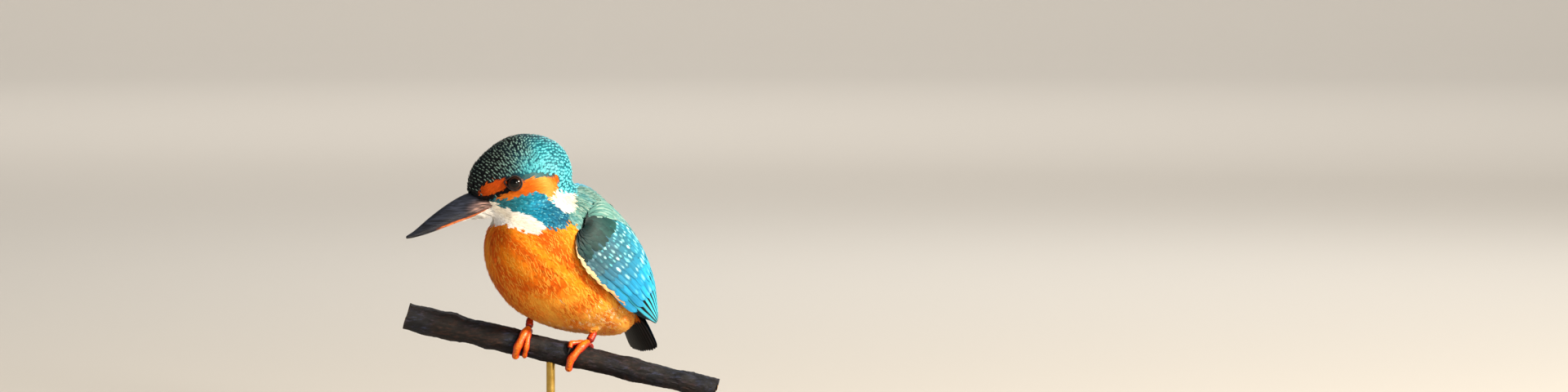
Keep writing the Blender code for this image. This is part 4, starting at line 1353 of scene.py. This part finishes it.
tints = linear("#fffdf8") * (0.96 + 0.1 * y + 0.12 * (uneven - 0.5))[..., None]
coat("plumage_chin", face_shape, points, up, tints, head_bake(roots), soft, "neck_feathers",
     soften=0.85)


# Legs and feet. Very short bare shanks and toes of orange-red scaly skin, ringed with low plates;
# each toe swells at its joints, clasps the twig and ends in a black hooked claw.

# How far the ankle rises over the toes, where each foot stands along the twig, and how far apart
# the plates are
ANKLE_RISE = 0.3
FOOT_X = {"left": 9.8, "right": -17.6}
SCUTE = 1.15
TARSUS_RADIUS = 1.6
FRONT_TOE_RADIUS = 1.85
SMALL_TOE_RADIUS = 1.3
CLAW_RADIUS = 0.95
CLAW_TURN = radians(34.0)
# Each toe: its name, radius, how far it spreads along the twig, and from where to where round
# the twig it runs, in degrees
TOES = {
    "left": (
        ("front", FRONT_TOE_RADIUS, -6.0, 4.0, 150.0), ("inner", SMALL_TOE_RADIUS, -7.6, 2.0, 62.0),
        ("hind", SMALL_TOE_RADIUS, 2.6, -4.0, -96.0),
    ),
    "right": (
        ("front", FRONT_TOE_RADIUS, -3.0, 4.0, 152.0), ("inner", SMALL_TOE_RADIUS, 0.9, 2.0, 146.0),
        ("hind", SMALL_TOE_RADIUS, 1.0, -4.0, -96.0),
    ),
}

# Scaly leg skin: waxy, slightly moist looking, orange-red in plates about 0.9 mm across.
leg_skin, tree, shader = finish_of(
    "scaly_leg_skin", Roughness=0.4, Subsurface_Weight=0.08, Subsurface_Scale=0.001
)
place = add(tree, "TexCoord", out="Object")
plates = add(tree, "TexVoronoi", {"Vector": place, "Scale": 1100.0}, feature="DISTANCE_TO_EDGE")
mottle = add(tree, "TexNoise", {"Vector": place, "Scale": 420.0, "Detail": 3.0})
tint = add(tree, "Attribute", attribute_name="tint")
shade = add(tree, "ValToRGB", {"Fac": mottle}, ((0.3, "#c8a090"), (0.7, "#ffffff")))
warm = add(tree, "Mix", {"Factor": 1.0, 6: tint, 7: shade}, out=2, **MULTIPLY)
seams = add(tree, "MapRange", {"Value": plates, "From Max": 0.12, "To Min": 0.55, "To Max": 1.05})
colour = add(tree, "Mix", {"Factor": 1.0, 6: warm, 7: seams}, out=2, **MULTIPLY)
relief = add(tree, "Bump", {"Height": plates, "Strength": 0.4, "Distance": 0.0002})
feed(shader, Base_Color=colour, Normal=relief)

# Claw horn: black, smooth and hard, a little browner in soft clouds.
claw_horn, tree, shader = finish_of("claw_horn", Roughness=0.28)
place = add(tree, "TexCoord", out="Object")
cloud = add(tree, "TexNoise", {"Vector": place, "Scale": 900.0, "Detail": 3.0})
colour = add(tree, "ValToRGB", {"Fac": cloud}, ((0.35, "#0a0808"), (0.75, "#2c211c")))
feed(shader, Base_Color=colour)


def tube(path, radius, around, rows):
    """A round rod with rounded ends along path(t), its radius radius(t, angle)."""

    def point(t, angle):
        run = (path(t + 0.01) - path(t - 0.01)).normalized()
        side = run.cross(Vector((0.0, 0.94, 0.34))).normalized()
        other = run.cross(side)
        length = (path(1.0) - path(0.0)).length
        near = min(t, 1.0 - t) * length / radius(t, angle)
        full = sqrt(max(0.0, 1.0 - (1.0 - min(near, 1.0)) ** 2))
        size = radius(t, angle) * full
        return path(t) + side * size * cos(angle) + other * size * sin(angle)

    return rounded(point, around, rows)


def painted_light_on_leg(piece):
    """Paints light on a leg or toe: yellow-orange painted highlight on the ridge away from the
    twig, deep red painted shade on its sides.
    """
    places = np.array([v.co for v in piece.data.vertices]) / MM
    ways = np.array([v.normal for v in piece.data.vertices])
    off = places - (0.0, 0.0, PERCH_CENTRE_Z)
    off = unit(off - (off @ np.array(ALONG))[:, None] * np.array(ALONG))
    # Painted light: a highlight in yellow-orange on the ridge facing out from the twig, painted
    # shade in deep red on the sides.
    lit_ridge = smooth(np.sum(ways * off, axis=1), 0.0, 1.1)
    painted(piece, tone(("#8f1003", "#cf2c05", "#ef4f08", "#ff8618"), lit_ridge))


for word in ("left", "right"):
    low = Vector(THIGH_ENDS[word])
    ankle = on_perch(FOOT_X[word], 0.0, ANKLE_RISE + FRONT_TOE_RADIUS + 0.15)

    def shank_path(t):
        return low + Vector((0.0, 0.0, 1.6)) * (1 - t) + (ankle - low) * t

    def shank_radius(t, angle):
        ring = 0.06 * abs(sin(pi * t * (ankle - low).length / SCUTE))
        return TARSUS_RADIUS * (0.98 + ring) + 0.35 * t * t

    leg = tube(shank_path, shank_radius, 24, 40)
    painted_light_on_leg(done("leg_" + word, leg, leg_skin, "leg_skin", "shank_" + word))
    for toe, size, shift, first, last in TOES[word]:
        reach = radians(abs(last - first)) * 7.5

        def toe_path(t):
            run = min(1.0, max(0.0, t) * 1.5)
            turn = radians(first + (last - first) * t)
            return on_perch(FOOT_X[word] + shift * run, turn, size + 0.1)

        def toe_radius(t, angle):
            plate = 0.05 * abs(sin(pi * t * reach / SCUTE))
            joint = 0.1 * cos(2 * pi * t * 3.0 + 0.6) + 0.06 * max(0.0, -cos(angle))
            return size * (1.04 - 0.14 * t) * (0.98 + plate + joint)

        name = toe + "_" + word
        scaly = tube(toe_path, toe_radius, 24, 64)
        painted_light_on_leg(done("scaly_toe_" + name, scaly, leg_skin, "leg_skin", "toe_" + name))

        def claw_path(t):
            turn = CLAW_TURN if last > 0 else -CLAW_TURN
            lift = size * (0.95 - 0.15 * t) - 0.9 * t * t
            return on_perch(FOOT_X[word] + shift, radians(last) + turn * (1.15 * t - 0.3), lift)

        def claw_radius(t, angle):
            return CLAW_RADIUS * (1.0 - 0.8 * max(0.0, min(1.0, t)) ** 1.2)

        claw = tube(claw_path, claw_radius, 18, 24)
        done("hooked_claw_" + name, claw, claw_horn, "claw_horn", "claw_" + name)


# Studio. A seamless sweep of pale paper, a warm key light from the right, a weaker one in front, a
# faint fill from the left, a rim light behind and one that lights the paper wall, and a long lens.
# Where the camera aims, in metres, from how far and from how high
VIEW = Vector((0.10125, 0.0, 0.1224))
DISTANCE = 4.0
ELEVATION = radians(3.0)

# Matt paper: an even grey-white, its fibres clouding it very slightly.
paper, tree, shader = finish_of("studio_paper", Roughness=0.9)
place = add(tree, "TexCoord", out="Object")
fibres = add(tree, "TexNoise", {"Vector": place, "Scale": 900.0, "Detail": 3.0})
colour = add(tree, "ValToRGB", {"Fac": fibres}, ((0.3, "#cecbc5"), (0.7, "#d0cdc8")))
feed(shader, Base_Color=colour)

# The paper's section from the middle outwards: flat, then one long curve up to a low wall
SWEEP_FLAT = 4600.0
SWEEP_CURVE = 1800.0
SWEEP_WALL = 3200.0
bm = bmesh.new()
rim = [bm.verts.new((0.0, 0.0, 0.0)), bm.verts.new((SWEEP_FLAT, 0.0, 0.0))]
for i in range(1, 13):
    turn = i / 12 * pi / 2
    out, rise = SWEEP_FLAT + SWEEP_CURVE * sin(turn), SWEEP_CURVE * (1 - cos(turn))
    rim.append(bm.verts.new((out, 0.0, rise)))
rim.append(bm.verts.new((SWEEP_FLAT + SWEEP_CURVE, 0.0, SWEEP_WALL)))
edges = [bm.edges.new(pair) for pair in zip(rim, rim[1:])]
bmesh.ops.spin(
    bm, geom=rim + edges, cent=(0, 0, 0), axis=(0, 0, 1), angle=2 * pi, steps=96, use_merge=True
)
bmesh.ops.remove_doubles(bm, verts=bm.verts, dist=0.01)
bmesh.ops.recalc_face_normals(bm, faces=bm.faces)
bmesh.ops.reverse_faces(bm, faces=[f for f in bm.faces if f.normal.z < -0.01])
bmesh.ops.scale(bm, vec=(MM, MM, MM), verts=bm.verts)
mesh = bpy.data.meshes.new("floor")
bm.to_mesh(mesh)
bm.free()
mesh.shade_smooth()
floor = shown("floor", mesh, paper)

world = bpy.data.worlds.new("studio")
bpy.context.scene.world = world
world.use_nodes = True
background = world.node_tree.nodes["Background"]
background.inputs["Color"].default_value = (*linear("#eef1f4"), 1.0)
background.inputs["Strength"].default_value = 0.2


def light(name, place, size, power, code, aim=(0.0, 0.0, 0.1)):
    """A soft square light at the place, facing the model or what else it is aimed at."""
    lamp = bpy.data.lights.new(name, "AREA")
    lamp.size = size
    lamp.energy = power
    lamp.color = linear(code)
    made = bpy.data.objects.new(name, lamp)
    bpy.context.scene.collection.objects.link(made)
    made.location = place
    way = Vector(aim) - Vector(place)
    made.rotation_euler = way.to_track_quat("-Z", "Y").to_euler()


light("key", (2.25, -1.25, 1.3), 0.4, 175.0, "#fff0da")
light("front", (1.15, -2.4, 0.8), 0.4, 26.0, "#fff6ea")
light("fill", (-1.6, -1.9, 0.9), 1.6, 1.5, "#e8f0ff")
light("rim", (0.5, 1.6, 1.3), 0.9, 12.0, "#ffffff")
light("wall", (0.0, 3.4, 2.4), 2.0, 60.0, "#fff8f0", aim=(0.0, 5.2, 0.0))
bpy.context.scene.view_settings.view_transform = "Standard"

lens = bpy.data.cameras.new("camera")
lens.lens = 200.0
lens.sensor_width = 36.0
lens.clip_start = 0.05
lens.clip_end = 50.0
camera = bpy.data.objects.new("camera", lens)
bpy.context.scene.collection.objects.link(camera)
camera.location = VIEW + Vector((0.0, -DISTANCE * cos(ELEVATION), DISTANCE * sin(ELEVATION)))
camera.rotation_euler = (pi / 2.0 - ELEVATION, 0.0, 0.0)
bpy.context.scene.camera = camera
